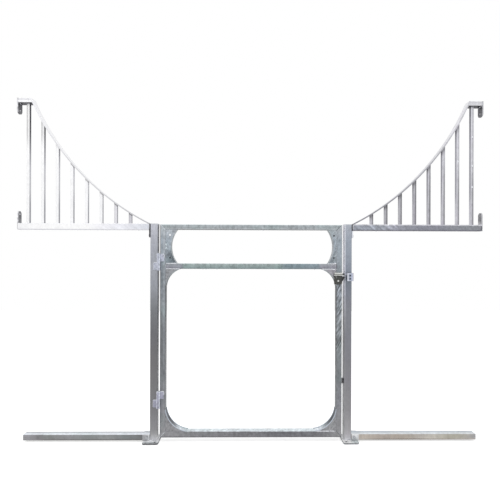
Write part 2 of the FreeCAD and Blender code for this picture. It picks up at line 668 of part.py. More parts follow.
def hinge_half(name, bottom, strap_x, strap_back, bore):
    knuckle = cylinder(f"{name}_knuckle", "sizes.knuckle_diameter", "sizes.knuckle_length", ALONG_Z,
                       "places.hinge_x", "places.hinge_y", bottom)
    strap = box(f"{name}_strap", "sizes.strap_length", "sizes.strap_thickness", "sizes.strap_height",
                strap_x, f"{strap_back} - sizes.strap_thickness",
                f"{bottom} + (sizes.knuckle_length - sizes.strap_height) / 2")
    hole = cylinder(f"{name}_bore", bore, "sizes.knuckle_length * 2", ALONG_Z,
                    "places.hinge_x", "places.hinge_y", f"{bottom} - sizes.knuckle_length / 2")
    return cut(name, fuse(f"{name}_blank", knuckle, strap), hole)


def hinge_pin(name, bottom):
    eye_top = f"{bottom} + 2 * sizes.knuckle_length + sizes.knuckle_gap"
    head_bottom = f"{eye_top} + sizes.knuckle_gap"
    shank = cylinder(f"{name}_shank", "sizes.pin_diameter",
                     "2 * sizes.knuckle_length + 2 * sizes.knuckle_gap", ALONG_Z,
                     "places.hinge_x", "places.hinge_y", bottom)
    head = cylinder(f"{name}_head", "sizes.pin_diameter + 2 * sizes.pin_head_overhang",
                    "sizes.pin_head", ALONG_Z, "places.hinge_x", "places.hinge_y", head_bottom)
    return fuse(name, shank, head)


def make_hinges():
    pins = []
    for level in ("upper", "lower"):
        bottom = f"places.{level}_hinge_bottom"
        eye_bottom = f"{bottom} + sizes.knuckle_length + sizes.knuckle_gap"
        pintle = hinge_half(f"{level}_hinge_pintle", bottom, "places.hinge_x - sizes.strap_length",
                            "places.front", "sizes.pin_diameter")
        eye = hinge_half(f"{level}_hinge_eye", eye_bottom, "places.hinge_x", "places.leaf_front",
                         "sizes.pin_diameter + 2 * sizes.pin_clearance")
        add_node(pintle, f"{level}_hinge_pintle")
        add_node(eye, f"{level}_hinge_eye")
        pins.append(hinge_pin(f"{level}_hinge_pin", bottom))
    group("hinge_pins", *pins)


# Sliding bolt latch

def make_latch_guide():
    plate = box("guide_plate", "sizes.barrel_length", "sizes.guide_thickness",
                "sizes.guide_drop + sizes.guide_rise", "places.barrel_start", "places.guide_front",
                "places.latch_z - sizes.guide_drop")
    barrel = cylinder("guide_barrel", "sizes.barrel_diameter", "sizes.barrel_length", ALONG_X,
                      "places.barrel_start", "places.latch_y", "places.latch_z")
    bore = cylinder("guide_bore", "sizes.latch_diameter + 2 * sizes.latch_clearance",
                    "sizes.barrel_length * 3", ALONG_X,
                    "places.barrel_start - sizes.barrel_length", "places.latch_y", "places.latch_z")
    slot = box("guide_slot", "sizes.latch_travel + sizes.tang_width + 2 * sizes.tang_play",
               "sizes.tang_depth + 2 * sizes.tang_play", "sizes.barrel_diameter",
               "places.drive_x - sizes.tang_width / 2 - sizes.tang_play",
               "places.latch_y - sizes.tang_depth / 2 - sizes.tang_play",
               "places.latch_z - sizes.barrel_diameter")
    add_node(cut("latch_guide", fuse("guide_blank", plate, barrel), bore, slot), "latch_guide")


def make_latch_bolt():
    rod = cylinder("latch_rod", "sizes.latch_diameter", "sizes.latch_length", ALONG_X,
                   "places.barrel_start + sizes.latch_tail", "places.latch_y", "places.latch_z")
    tang = box("latch_tang", "sizes.tang_width", "sizes.tang_depth",
               "places.latch_z - places.drive_z + sizes.tang_width / 2",
               "places.drive_x - sizes.tang_width / 2", "places.latch_y - sizes.tang_depth / 2",
               "places.drive_z - sizes.tang_width / 2")
    pin = cylinder("drive_pin", "sizes.drive_pin",
                   "places.latch_y - places.lever_front + sizes.drive_stand_out", ALONG_Y,
                   "places.drive_x", "places.lever_front - sizes.drive_stand_out", "places.drive_z")
    add_node(fuse("latch_bolt", rod, tang, pin), "latch_bolt")


def make_latch_lever():
    body = doc.addObject("PartDesign::Body", "lever_plate")
    outline = new_sketch(body, "XZ_Plane", "lever_outline")
    corners = [("-sizes.lever_left", "sizes.lever_rise"),
               ("-sizes.lever_foot", "-sizes.lever_drop"),
               ("sizes.lever_foot", "-sizes.lever_drop"),
               ("sizes.lever_right", "sizes.lever_rise")]
    add_outline(outline, corners, {})
    pad = add_pad(body, outline, "sizes.lever_thickness")
    round_edges(body, pad, FreeCAD.Vector(0, 1, 0), "sizes.lever_corner", 4)
    place(body, "places.pivot_x", "places.lever_back", "places.pivot_z")
    bore = cylinder("lever_bore", "sizes.pivot_journal + 2 * sizes.pivot_clearance",
                    "sizes.lever_thickness * 3", ALONG_Y, "places.pivot_x",
                    "places.lever_front - sizes.lever_thickness", "places.pivot_z")
    add_node(cut("latch_lever", body, bore, lever_slot()), "latch_lever")


def lever_slot():
    """Radial slot that the drive pin slides in while the lever turns."""
    lean = "atan(sizes.latch_travel / 2 / sizes.drive_rise)"
    far = "sqrt(sizes.drive_rise ^ 2 + sizes.latch_travel ^ 2 / 4)"
    width = "(sizes.drive_pin + 2 * sizes.drive_play)"
    ends = []
    for name, radius in (("near", "sizes.drive_rise"), ("far", far)):
        ends.append(cylinder(f"slot_{name}", width, "sizes.lever_thickness * 3", ALONG_Y,
                             f"places.pivot_x - {radius} * sin({lean})",
                             "places.lever_front - sizes.lever_thickness",
                             f"places.pivot_z + {radius} * cos({lean})"))
    middle = doc.addObject("Part::Box", "slot_middle")
    bind(middle, Length=width, Width="sizes.lever_thickness * 3", Height=f"{far} - sizes.drive_rise")
    middle.Placement.Rotation = FreeCAD.Rotation(FreeCAD.Vector(0, 1, 0), -number(lean))
    corner_x = f"places.pivot_x - sizes.drive_rise * sin({lean}) - {width} / 2 * cos({lean})"
    corner_z = f"places.pivot_z + sizes.drive_rise * cos({lean}) - {width} / 2 * sin({lean})"
    for axis, formula in zip("xyz", (corner_x, "places.lever_front - sizes.lever_thickness", corner_z)):
        middle.setExpression(f"Placement.Base.{axis}", formula)
    return fuse("lever_slot", *ends, middle)


def make_latch_pivot():
    shoulder = cylinder("pivot_shoulder", "sizes.pivot_shoulder",
                        "places.guide_front - places.lever_back - sizes.lever_play", ALONG_Y,
                        "places.pivot_x", "places.lever_back + sizes.lever_play", "places.pivot_z")
    journal = cylinder("pivot_journal", "sizes.pivot_journal",
                       "sizes.lever_thickness + 2 * sizes.lever_play", ALONG_Y,
                       "places.pivot_x", "places.lever_front - sizes.lever_play", "places.pivot_z")
    head = cylinder("pivot_head", "sizes.pivot_head", "sizes.pivot_head_height", ALONG_Y,
                    "places.pivot_x",
                    "places.lever_front - sizes.lever_play - sizes.pivot_head_height",
                    "places.pivot_z")
    add_node(fuse("latch_pivot", shoulder, journal, head), "latch_pivot")


# Keeper on the latch post, and the stop behind the leaf

def keeper_bolt_y():
    return "places.keeper_front + sizes.keeper_leg - sizes.keeper_bolt_back"


def keeper_bolt_heights():
    middle = "(places.keeper_bottom + places.keeper_height / 2)"
    return [f"{middle} - sizes.keeper_bolt_pitch / 2", f"{middle} + sizes.keeper_bolt_pitch / 2"]


def make_keeper():
    front_leg = box("keeper_front_leg", "sizes.keeper_length + sizes.keeper_thickness",
                    "sizes.keeper_thickness", "places.keeper_height",
                    "places.post_outer - sizes.keeper_length", "places.keeper_front",
                    "places.keeper_bottom")
    side_leg = box("keeper_side_leg", "sizes.keeper_thickness", "sizes.keeper_leg",
                   "places.keeper_height", "places.post_outer", "places.keeper_front",
                   "places.keeper_bottom")
    hole_x = "places.post_outer - sizes.keeper_length / 2 + sizes.keeper_thickness / 2"
    upper_hole_z = "(places.latch_z - sizes.keeper_hole_drop)"
    holes = [
        cylinder("keeper_cross_hole", "sizes.keeper_hole", "sizes.keeper_thickness * 3", ALONG_Y,
                 hole_x, "places.keeper_front - sizes.keeper_thickness", z)
        for z in (upper_hole_z, f"{upper_hole_z} - sizes.keeper_hole_pitch")
    ]
    bolt_holes = [
        cylinder("keeper_side_hole", "sizes.small_bolt_hole", "sizes.keeper_thickness * 3", ALONG_X,
                 "places.post_outer - sizes.keeper_thickness", keeper_bolt_y(), z)
        for z in keeper_bolt_heights()
    ]
    blank = fuse("keeper_blank", front_leg, side_leg)
    add_node(cut("latch_keeper", blank, *holes, *bolt_holes), "latch_keeper")


def make_keeper_bolts():
    plate_face = "places.post_outer + sizes.keeper_thickness"
    wall_inside = "places.post_outer - sizes.post_wall"
    shank_length = ("(sizes.keeper_thickness + sizes.post_wall + sizes.small_nut_height"
                    " + sizes.thread_stand_out)")
    items = []
    for z in keeper_bolt_heights():
        head = hexagon("keeper_bolt_head", "sizes.small_hex_width", "sizes.small_head_height",
                       ALONG_X, plate_face, keeper_bolt_y(), z)
        shank = cylinder("keeper_bolt_shank", "sizes.small_bolt", shank_length, ALONG_X,
                         f"{plate_face} - {shank_length}", keeper_bolt_y(), z)
        nut = hexagon("keeper_nut_blank", "sizes.small_hex_width", "sizes.small_nut_height", ALONG_X,
                      f"{wall_inside} - sizes.small_nut_height", keeper_bolt_y(), z)
        items += [fuse("keeper_bolt", head, shank), cut("keeper_nut", nut, shank)]
    group("keeper_bolts", *items)


def make_gate_stop():
    stop = box("gate_stop", "sizes.stop_length", "sizes.stop_thickness", "sizes.stop_height",
               "places.post_inner - sizes.stop_overlap", "places.back", "places.stop_bottom")
    add_node(stop, "gate_stop")


def check_and_export():
    doc.recompute()
    for item in doc.Objects:
        if "Invalid" in item.State or "Error" in item.State:
            raise RuntimeError(f"{item.Label} failed to compute: {item.State}")
    os.makedirs("parts", exist_ok=True)
    for node in nodes:
        if node.Shape.isNull() or not node.Shape.isValid():
            raise RuntimeError(f"{node.Label} has no valid shape")
        if not node.Shape.Solids:
            raise RuntimeError(f"{node.Label} holds no solid")
        node.Shape.exportStep(f"parts/{node.Label}.step")
        print(f"{node.Label}: {len(node.Shape.Solids)} solid(s), {node.Shape.Volume / 1000:.1f} cm3")
    print(f"{len(nodes)} nodes")


def main():
    make_sheet()
    make_places()
    make_posts()
    make_post_caps()
    make_base_plates()
    make_floor_rails()
    make_rail_ears()
    make_rail_bolts()
    make_wing_rails()
    make_end_plates()
    make_wing_bolts()
    make_lugs()
    curve_tool = make_curve_tool()
    make_curved_bars()
    make_top_tubes(curve_tool)
    make_infill_bars(curve_tool)
    make_stiles()
    make_gate_rails()
    make_gussets()
    make_hinges()
    make_latch_guide()
    make_latch_bolt()
    make_latch_lever()
    make_latch_pivot()
    make_keeper()
    make_keeper_bolts()
    make_gate_stop()
    check_and_export()


main()
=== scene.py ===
import math
import random
from collections import namedtuple

import bmesh
import bpy
from mathutils import Euler, Matrix, Vector


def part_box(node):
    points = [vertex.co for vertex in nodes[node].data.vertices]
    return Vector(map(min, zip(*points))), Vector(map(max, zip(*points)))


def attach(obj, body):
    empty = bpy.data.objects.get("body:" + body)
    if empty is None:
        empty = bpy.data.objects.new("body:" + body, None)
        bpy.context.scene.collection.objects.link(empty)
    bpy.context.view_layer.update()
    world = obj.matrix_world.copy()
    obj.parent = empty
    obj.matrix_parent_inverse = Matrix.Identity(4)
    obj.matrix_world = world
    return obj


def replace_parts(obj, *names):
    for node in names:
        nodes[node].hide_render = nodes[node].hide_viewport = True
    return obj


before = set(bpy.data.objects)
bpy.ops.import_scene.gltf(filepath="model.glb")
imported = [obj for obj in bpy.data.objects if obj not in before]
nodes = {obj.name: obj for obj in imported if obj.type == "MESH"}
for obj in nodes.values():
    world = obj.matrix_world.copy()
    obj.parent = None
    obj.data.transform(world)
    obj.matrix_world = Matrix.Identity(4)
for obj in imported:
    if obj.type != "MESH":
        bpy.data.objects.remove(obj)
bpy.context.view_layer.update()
print("frame loaded,", len(nodes), "nodes")


# Shader maths: a wrapped socket that adds its own Math nodes

class Value:
    def __init__(self, owner, socket):
        self.owner = owner
        self.socket = socket

    def maths(self, operation, *others, clamp=False):
        settings = {"operation": operation, "use_clamp": clamp}
        return self.owner.node("ShaderNodeMath", settings, [self, *others])

    def __add__(self, other):
        return self.maths("ADD", other)

    def __sub__(self, other):
        return self.maths("SUBTRACT", other)

    def __mul__(self, other):
        return self.maths("MULTIPLY", other)

    def __truediv__(self, other):
        return self.maths("DIVIDE", other)

    def __rsub__(self, other):
        return self.owner.node("ShaderNodeMath", {"operation": "SUBTRACT"}, [other, self])

    def __rtruediv__(self, other):
        return self.owner.node("ShaderNodeMath", {"operation": "DIVIDE"}, [other, self])

    def __neg__(self):
        return self.maths("MULTIPLY", -1)

    __radd__ = __add__
    __rmul__ = __mul__

    def clamped(self):
        return self.maths("ADD", 0, clamp=True)

    def rising(self, low, high):  # 0 below low, 1 above high, smooth between
        settings = {"interpolation_type": "SMOOTHSTEP"}
        return self.owner.node("ShaderNodeMapRange", settings,
                               {"Value": self, "From Min": low, "From Max": high})


class NodeTree:
    # the node tree of a material or of the world
    def __init__(self, owner):
        owner.use_nodes = True
        self.tree = owner.node_tree

    def node(self, kind, settings=None, inputs=None, output=0):
        made = self.tree.nodes.new(kind)
        for key, setting in (settings or {}).items():
            if key == "stops":
                self.setStops(made.color_ramp, setting)
            else:
                setattr(made, key, setting)
        pairs = enumerate(inputs) if isinstance(inputs, list) else (inputs or {}).items()
        for key, value in pairs:
            self.feed(made.inputs[key], value)
        return Value(self, made.outputs[output])

    def inSight(self):
        # 1 for what the camera sees, directly or mirrored
        seen, mirrored = [self.node("ShaderNodeLightPath", output=f"Is {kind} Ray")
                          for kind in ("Camera", "Glossy")]
        return (seen + mirrored).clamped()

    def setStops(self, ramp, stops):
        while len(ramp.elements) < len(stops):
            ramp.elements.new(0.5)
        for element, stop in zip(ramp.elements, stops):
            element.position, element.color = stop

    def feed(self, socket, value):
        if isinstance(value, Value):
            self.tree.links.new(value.socket, socket)
        else:
            socket.default_value = value


class Finish(NodeTree):
    # one material: its shader and the coordinates that its patterns use
    def __init__(self, name):
        self.material = bpy.data.materials.new(name)
        super().__init__(self.material)
        self.shader = self.tree.nodes["Principled BSDF"]
        self.point = self.node("ShaderNodeTexCoord", output="Object")
        self.facing = self.node("ShaderNodeTexCoord", output="Normal")

    def axes(self, vector):
        parts = self.node("ShaderNodeSeparateXYZ", None, [vector]).socket.node
        return {axis: Value(self, socket) for axis, socket in zip("xyz", parts.outputs)}

    def stretched(self, scale, turn=(0, 0, 0)):
        # the pattern is turned first and then stretched by the scale
        sizes = tuple(1 / part for part in scale)
        return self.node("ShaderNodeMapping", {"vector_type": "TEXTURE"},
                         {"Vector": self.point, "Scale": sizes, "Rotation": turn})

    def noise(self, vector, scale, detail=3, roughness=0.55):
        values = {"Vector": vector, "Scale": scale, "Detail": detail, "Roughness": roughness}
        return self.node("ShaderNodeTexNoise", None, values)

    def mix(self, factor, first, second, blend="MIX"):
        settings = {"data_type": "RGBA", "blend_type": blend, "clamp_factor": True}
        sockets = {0: factor, 6: first, 7: second}  # a Mix node's factor and its two colours
        return self.node("ShaderNodeMix", settings, sockets, output=2)

    def tones(self, place, tones):
        # one colour, or an axis and the colours met along it
        if isinstance(tones[0], (int, float)):
            return linear(*tones)
        axis, stops = tones
        low, high = stops[0][0], stops[-1][0]
        share = self.node("ShaderNodeMapRange", None,
                          {"Value": place[axis], "From Min": low, "From Max": high})
        marks = [((at - low) / (high - low), linear(*tone)) for at, *tone in stops]
        return self.node("ShaderNodeValToRGB", {"stops": marks}, {"Fac": share})

    def band(self, along, start, end, soft):
        # 1 from start to end of a coordinate, with soft ends inside them
        return along.rising(start, start + soft) * (1 - along.rising(end - soft, end))

    def shaded(self, tone, level):
        # a colour made darker or lighter by a number
        grey = self.node("ShaderNodeCombineColor", None, [level, level, level])
        return self.mix(1.0, tone, grey, "MULTIPLY")

    def bump(self, strength, depth, height):
        values = {"Strength": strength, "Distance": depth, "Height": height}
        return self.node("ShaderNodeBump", None, values)

    def set(self, **values):
        names = {"colour": "Base Color", "rough": "Roughness", "metal": "Metallic",
                 "normal": "Normal", "specular": "Specular IOR Level",
                 "glow": "Emission Color", "glowStrength": "Emission Strength"}
        for key, value in values.items():
            self.feed(self.shader.inputs[names[key]], value)
        return self.material


def shade(level):
    # the linear value of a grey that shows at this level from 0 to 1
    return ((level + 0.055) / 1.055) ** 2.4 if level > 0.04 else level / 12.92


def linear(red, green, blue):
    # a colour as it shows on a screen, from 0 to 255, as the shader wants it
    return (*(shade(part / 255) for part in (red, green, blue)), 1)


# Hot-dip zinc: what each tube or plate may change
zincLook = {
    "mottle": 0.05, "mottleSize": 0.035,    # soft clouds: depth, metres across
    "spangle": 0.04, "spangleSize": 0.011,  # crystals: the same
    "grainLines": 0.0, "linesAlong": "z",   # fine lines along the tube
    "streak": 0.0, "streakTurn": 0.0, "streakIn": None,  # slanting streaks, and where
    "streakScale": (70, 10, 9),
    "backShade": 0.0,  # how much darker the back is painted, as painted shade
    "patch": (235, 248, 240), "patchShare": 0.3,  # tint of the dull patches
    "rough": 0.42, "metal": 0.7, "bump": 0.25,
}
# and what all of them share
grain = {
    "sideFrom": 0.35, "sideTo": 0.85,  # how squarely a face looks a way
    "crystalGain": 4, "cloudGain": 8, "broadGain": 4, "lineGain": 8, "streakGain": 2,
    "crystalTall": 0.6, "broadPart": 0.22,  # broad clouds against fine ones
    "lineFine": 160, "lineLong": 3,
    "brightStreak": (0.5, 0.66), "darkStreak": (0.5, 0.34), "darkShare": 0.6,
    "streakFade": 0.2, "darkest": 0.05,
    "patchScale": 9, "patchFrom": (0.45, 0.68), "grainScale": 420,
    "crystalRough": 0.16, "cloudRough": 0.25, "grainRough": 0.1, "broadMetal": 0.3,
    "cloudBump": 0.8, "crystalBump": 0.25, "grainBump": 0.12, "bumpDepth": 0.0006,
}


def layBands(f, place, tone, bands):
    # bands: axis, start, end, soft edge and the tones between
    for axis, start, end, soft, tones in bands:
        share = f.band(place[axis], start, end, soft)
        tone = f.mix(share, tone, f.tones(place, tones))
    return tone


def streaks(f, place, look):
    turn = (0, math.radians(look["streakTurn"]), 0)
    lines = f.noise(f.stretched(look["streakScale"], turn), 1.0, 2, 0.5)
    marks = lines.rising(*grain["brightStreak"]) \
        - lines.rising(*grain["darkStreak"]) * grain["darkShare"]
    if look["streakIn"]:
        axis, start, end = look["streakIn"]
        marks = marks * f.band(place[axis], start, end, (end - start) * grain["streakFade"])
    return marks


def zinc(name, front, faces=None, bands=(), over=(), shadeOver=None, **changes):
    # tones along an axis for each way a face looks, which paint its light and shade, then crystals,
    # patches and streaks;
    # a stop is a place and its colour, bands lie under the faces' tones and over lies on top
    look = {**zincLook, **changes}
    squarely = (grain["sideFrom"], grain["sideTo"])
    f = Finish(name)
    place, facing = f.axes(f.point), f.axes(f.facing)
    tone = layBands(f, place, f.tones(place, front), bands)
    sides = {"right": facing["x"], "left": -facing["x"],
             "up": facing["z"], "down": -facing["z"]}
    # painted light and shade: each way a face looks gets its own tone
    for side, tones in (faces or {}).items():
        tone = f.mix(sides[side].rising(*squarely), tone, f.tones(place, tones))
    tone = layBands(f, place, tone, over)

    # zinc crystals, each with a shade of its own
    cells = f.node("ShaderNodeTexVoronoi", {"feature": "F1"},
                   {"Vector": f.stretched((1, 1, grain["crystalTall"])),
                    "Scale": 1 / look["spangleSize"]}, output="Color")
    crystal = f.axes(cells)["x"] - 0.5
    # soft patches where the zinc dulled at its own pace, and a finer cloud in them
    cloud = f.noise(f.point, 1 / look["mottleSize"], 4, 0.6) - 0.5
    broad = f.noise(f.point, grain["broadPart"] / look["mottleSize"], 2) - 0.5
    vary = crystal * (grain["crystalGain"] * look["spangle"]) \
        + cloud * (grain["cloudGain"] * look["mottle"]) \
        + broad * (grain["broadGain"] * look["mottle"])
    if look["grainLines"]:
        thin, long = grain["lineFine"], grain["lineLong"]
        scale = {"x": (long, thin, thin), "z": (thin, thin, long)}[look["linesAlong"]]
        lines = f.noise(f.stretched(scale), 1.0, 2, 0.6) - 0.5
        vary = vary + lines * (grain["lineGain"] * look["grainLines"])
    if look["streak"]:
        vary = vary + streaks(f, place, look) * (grain["streakGain"] * look["streak"])
    level = (vary + 1).maths("MAXIMUM", grain["darkest"])
    # painted shade: faces that look back are made darker
    if look["backShade"]:
        level = level * (1 - facing["y"].rising(*squarely) * look["backShade"])
    if shadeOver:
        level = level * shadeOver(place)
    tone = f.shaded(tone, level)
    dulled = f.noise(f.point, grain["patchScale"], 3).rising(*grain["patchFrom"])
    patched = f.mix(1.0, tone, linear(*look["patch"]), "MULTIPLY")
    tone = f.mix(dulled * look["patchShare"], tone, patched)

    speck = f.noise(f.point, grain["grainScale"], 2, 0.6)
    rough = look["rough"] + crystal * grain["crystalRough"] + cloud * grain["cloudRough"] \
        + (speck - 0.5) * grain["grainRough"]
    metal = look["metal"] - broad * grain["broadMetal"]
    height = cloud * grain["cloudBump"] + crystal * grain["crystalBump"] \
        + speck * grain["grainBump"]
    return f.set(colour=tone, rough=rough.clamped(), metal=metal.clamped(),
                 normal=f.bump(look["bump"], grain["bumpDepth"], height))


platedLook = {"cloudScale": 160, "brushScale": (900, 900, 60), "cloudGain": 0.6,
              "brushGain": 0.3, "rough": 0.34, "cloudRough": 0.3,
              "bump": 0.2, "bumpDepth": 0.0004}


def platedZinc(name, tones=(196, 199, 204), metal=0.7, bands=()):
    look = platedLook
    f = Finish(name)
    place = f.axes(f.point)
    cloud = f.noise(f.point, look["cloudScale"], 3) - 0.5
    brushed = f.noise(f.stretched(look["brushScale"]), 1.0, 2) - 0.5
    level = cloud * look["cloudGain"] + brushed * look["brushGain"] + 1
    tone = layBands(f, place, f.tones(place, tones), bands)
    return f.set(colour=f.shaded(tone, level), metal=metal,
                 rough=(cloud * look["cloudRough"] + look["rough"]).clamped(),
                 normal=f.bump(look["bump"], look["bumpDepth"], brushed))


# the lever's coat: lighter to the left, painted near black towards its right edge as painted shade; the
# scuffs are wear
coatLook = {
    "tones": ("x", [(0.53, 60, 61, 56), (0.572, 58, 60, 58), (0.58, 20, 21, 23), (0.61, 16, 17, 20)]),
    "pebbleScale": 700, "scuffScale": (60, 200, 200), "scuffFrom": (0.6, 0.72),
    "scuff": (104, 104, 98), "scuffShare": 0.35,
    "rough": 0.42, "pebbleRough": 0.2, "bump": 0.3, "bumpDepth": 0.0003}


def blackCoat(name):
    look = coatLook
    f = Finish(name)
    pebble = f.noise(f.point, look["pebbleScale"], 2)
    scuff = f.noise(f.stretched(look["scuffScale"]), 1.0, 4).rising(*look["scuffFrom"])
    base = f.tones(f.axes(f.point), look["tones"])
    return f.set(colour=f.mix(scuff * look["scuffShare"], base, linear(*look["scuff"])),
                 rough=look["rough"] + (pebble - 0.5) * look["pebbleRough"],
                 normal=f.bump(look["bump"], look["bumpDepth"], pebble))


def dress(material, *names):
    for name in names:
        for place in nodes[name].material_slots:
            place.material = material
        if not nodes[name].material_slots:
            nodes[name].data.materials.append(material)


def galvanise(names, *tones, **changes):
    # one zinc finish for these nodes, named after the first of them
    dress(zinc("zinc_" + names[0], *tones, **changes), *names)


def bars(side):
    return [f"infill_bar_{number}_{side}" for number in range(1, 9)]


# Left wing: painted nearly white for the strong light on it. Right wing: violet-grey zinc under weaker
# light.
barRow = {"first": 0.771, "pitch": 0.0935714, "width": 0.02}  # inner edge of the first bar
curve = {"x": -0.06857, "z": 2.84174, "under": 1.618}  # centre and lower radius of the arc


def acrossBar(place):  # 0 at a bar's inner edge, 1 at its outer edge
    steps = (place["x"].maths("ABSOLUTE") - barRow["first"]) / barRow["pitch"]
    return steps.maths("FRACT") * (barRow["pitch"] / barRow["width"])


def belowCurve(place):  # metres below the arc
    across = place["x"].maths("ABSOLUTE") - curve["x"]
    down = place["z"] - curve["z"]
    return (across * across + down * down).maths("SQRT") - curve["under"]


leftShade = {"edge": (0.45, 0.75),  # where a bar's shaded edge lies
             "high": (1.85, 2.0), "highDark": 0.3, "highAll": 0.45,
             "inner": (0.85, 1.0), "innerDark": 0.12,  # on the bars nearer the post
             "tick": (0.002, 0.012), "tickEnd": (1.15, 1.3), "tickDark": 0.6}  # under the arc
rightShade = {"edge": (0.35, 0.6), "edgeDark": 0.42, "edgeLeast": 0.05,
              "high": (1.65, 1.85), "highLess": 0.7, "tick": (0.004, 0.03), "tickDark": 0.5,
              "near": (1.05, 1.3), "second": (0.8, 0.86), "secondDark": 0.16, "nearDark": 0.02}


def leftBarShade(place):
    look = leftShade
    away = place["x"].maths("ABSOLUTE")
    high = place["z"].rising(*look["high"]) * look["highDark"]
    inner = (1 - away.rising(*look["inner"])) * look["innerDark"]
    edge = acrossBar(place).rising(*look["edge"])
    tick = (1 - belowCurve(place).rising(*look["tick"])) \
        * (1 - away.rising(*look["tickEnd"])) * look["tickDark"]
    return (1 - edge * (high + inner)) * (1 - tick) * (1 - high * look["highAll"])


def rightBarShade(place):
    look = rightShade
    low = 1 - place["z"].rising(*look["high"]) * look["highLess"]
    edge = acrossBar(place).rising(*look["edge"]) * (low * look["edgeDark"] + look["edgeLeast"])
    tick = (1 - belowCurve(place).rising(*look["tick"])) * look["tickDark"]
    nearPost = (1 - place["x"].rising(*look["near"])) \
        * (place["x"].rising(*look["second"]) * look["secondDark"] + look["nearDark"])
    return (1 - edge) * (1 - tick) * (1 - nearPost)


# the left wing's look: faint grain, no patches, and painted shade on the back
leftWingLitLook = {"mottle": 0.012, "spangle": 0.01, "patchShare": 0.0, "backShade": 0.35}
# left bars: painted near-white by the light and greyer towards the post; their right faces and
# undersides are painted in shade, darkest high up
galvanise(bars("left"),
    ("x", [(-1.45, 249, 249, 250), (-1.0, 249, 249, 251), (-0.93, 246, 246, 248),
        (-0.87, 226, 225, 230), (-0.78, 208, 207, 213)]),
    {"right": ("z", [(1.4, 160, 160, 166), (1.52, 164, 164, 170), (1.62, 198, 198, 202),
        (1.75, 196, 196, 202), (1.88, 140, 140, 146), (2, 76, 76, 82), (2.15, 62, 62, 70)]),
     "down": (110, 110, 114)},
    shadeOver=leftBarShade, **leftWingLitLook)
# left curve: painted lighter higher up and on top; its underside and right face are painted in shade
# that deepens towards the back
leftUnderShade = ("y", [(0.018, 246, 246, 248), (0.025, 206, 206, 210)])
galvanise(["curved_bar_left"],
    ("z", [(1.4, 196, 196, 200), (1.6, 214, 214, 217), (2, 228, 228, 231), (2.2, 232, 232, 235)]),
    {"up": (250, 250, 252), "down": leftUnderShade, "right": leftUnderShade}, **leftWingLitLook)
# left rail: painted near-white by the light and greyer towards the post, lighter on top, with painted
# shade underneath and along its top and bottom edges
galvanise(["wing_rail_left"],
    ("x", [(-1.5, 244, 244, 246), (-1.4, 252, 252, 253), (-1.05, 253, 253, 254), (-0.95, 242, 242, 247),
        (-0.8, 236, 237, 244), (-0.65, 218, 221, 229)]),
    {"up": (250, 250, 252), "down": (200, 200, 206)},
    [("z", 1.3945, 1.42, 0.003, (236, 236, 240)), ("z", 1.35, 1.3655, 0.003, (222, 222, 227))],
    streak=0.045, streakTurn=-52, streakIn=("x", -1.0, -0.6), **leftWingLitLook)
# left top tube: painted lighter on top, with painted shade underneath and on its right face
galvanise(["top_tube_left"],
    ("z", [(2.17, 238, 238, 240), (2.184, 244, 244, 246), (2.188, 216, 216, 220),
        (2.2, 222, 222, 226)]),
    {"up": (246, 246, 248), "down": (60, 60, 66), "right": (90, 90, 96)}, mottle=0.025,
    mottleSize=0.012, spangle=0.02, patchShare=0.0)
violet = {"backShade": 0.15, "mottle": 0.05, "spangle": 0.035, "patch": (250, 244, 255)}
# right bars: painted lighter higher up; their left faces and undersides are painted in shade
galvanise(bars("right"),
    ("z", [(1.4, 194, 193, 200), (1.55, 200, 200, 206), (1.8, 212, 212, 218), (2.15, 206, 206, 212)]),
    {"left": ("z", [(1.4, 206, 206, 211), (1.5, 196, 196, 202), (1.62, 158, 158, 166),
        (1.9, 160, 160, 168), (2.05, 128, 128, 136), (2.15, 112, 112, 120)]),
     "down": (110, 110, 116)},
    grainLines=0.06, shadeOver=rightBarShade, **violet)
# right curve: painted lighter higher up, and lighter on its top, underside and left face than on its
# front, as painted light
galvanise(["curved_bar_right"],
    ("z", [(1.4, 146, 146, 152), (1.7, 164, 164, 170), (2, 196, 196, 201)]),
    {"up": (238, 238, 242),
     "down": ("z", [(1.4, 166, 166, 172), (1.7, 206, 206, 211), (2.2, 234, 234, 238)]),
     "left": ("z", [(1.4, 186, 186, 192), (2, 230, 230, 233)])},
    **violet)
# right rail: painted lighter on top, with a painted highlight along its top edge and painted shade
# along its bottom edge and underneath
galvanise(["wing_rail_right"],
    ("x", [(0.65, 152, 155, 165), (0.7, 150, 155, 165), (0.78, 162, 167, 178), (0.9, 159, 162, 171),
        (1.05, 143, 145, 155), (1.44, 142, 145, 151), (1.485, 140, 142, 148), (1.489, 96, 98, 104)]),
    {"up": (214, 214, 220), "down": (96, 96, 104)},
    [("z", 1.3925, 1.42, 0.003, (212, 212, 218)), ("z", 1.35, 1.3675, 0.004, (112, 112, 124))],
    streak=0.2, streakTurn=-50, streakIn=("x", 0.64, 0.98),
    **{**violet, "mottle": 0.09, "mottleSize": 0.013, "spangle": 0.06})
# right top tube: painted lighter on top, with painted shade underneath and on its left face
galvanise(["top_tube_right"],
    ("z", [(2.17, 214, 214, 217), (2.184, 208, 208, 212), (2.2, 196, 196, 200)]),
    {"up": (236, 236, 240), "down": (60, 60, 66), "left": (86, 86, 92)},
    **{**violet, "mottleSize": 0.012})
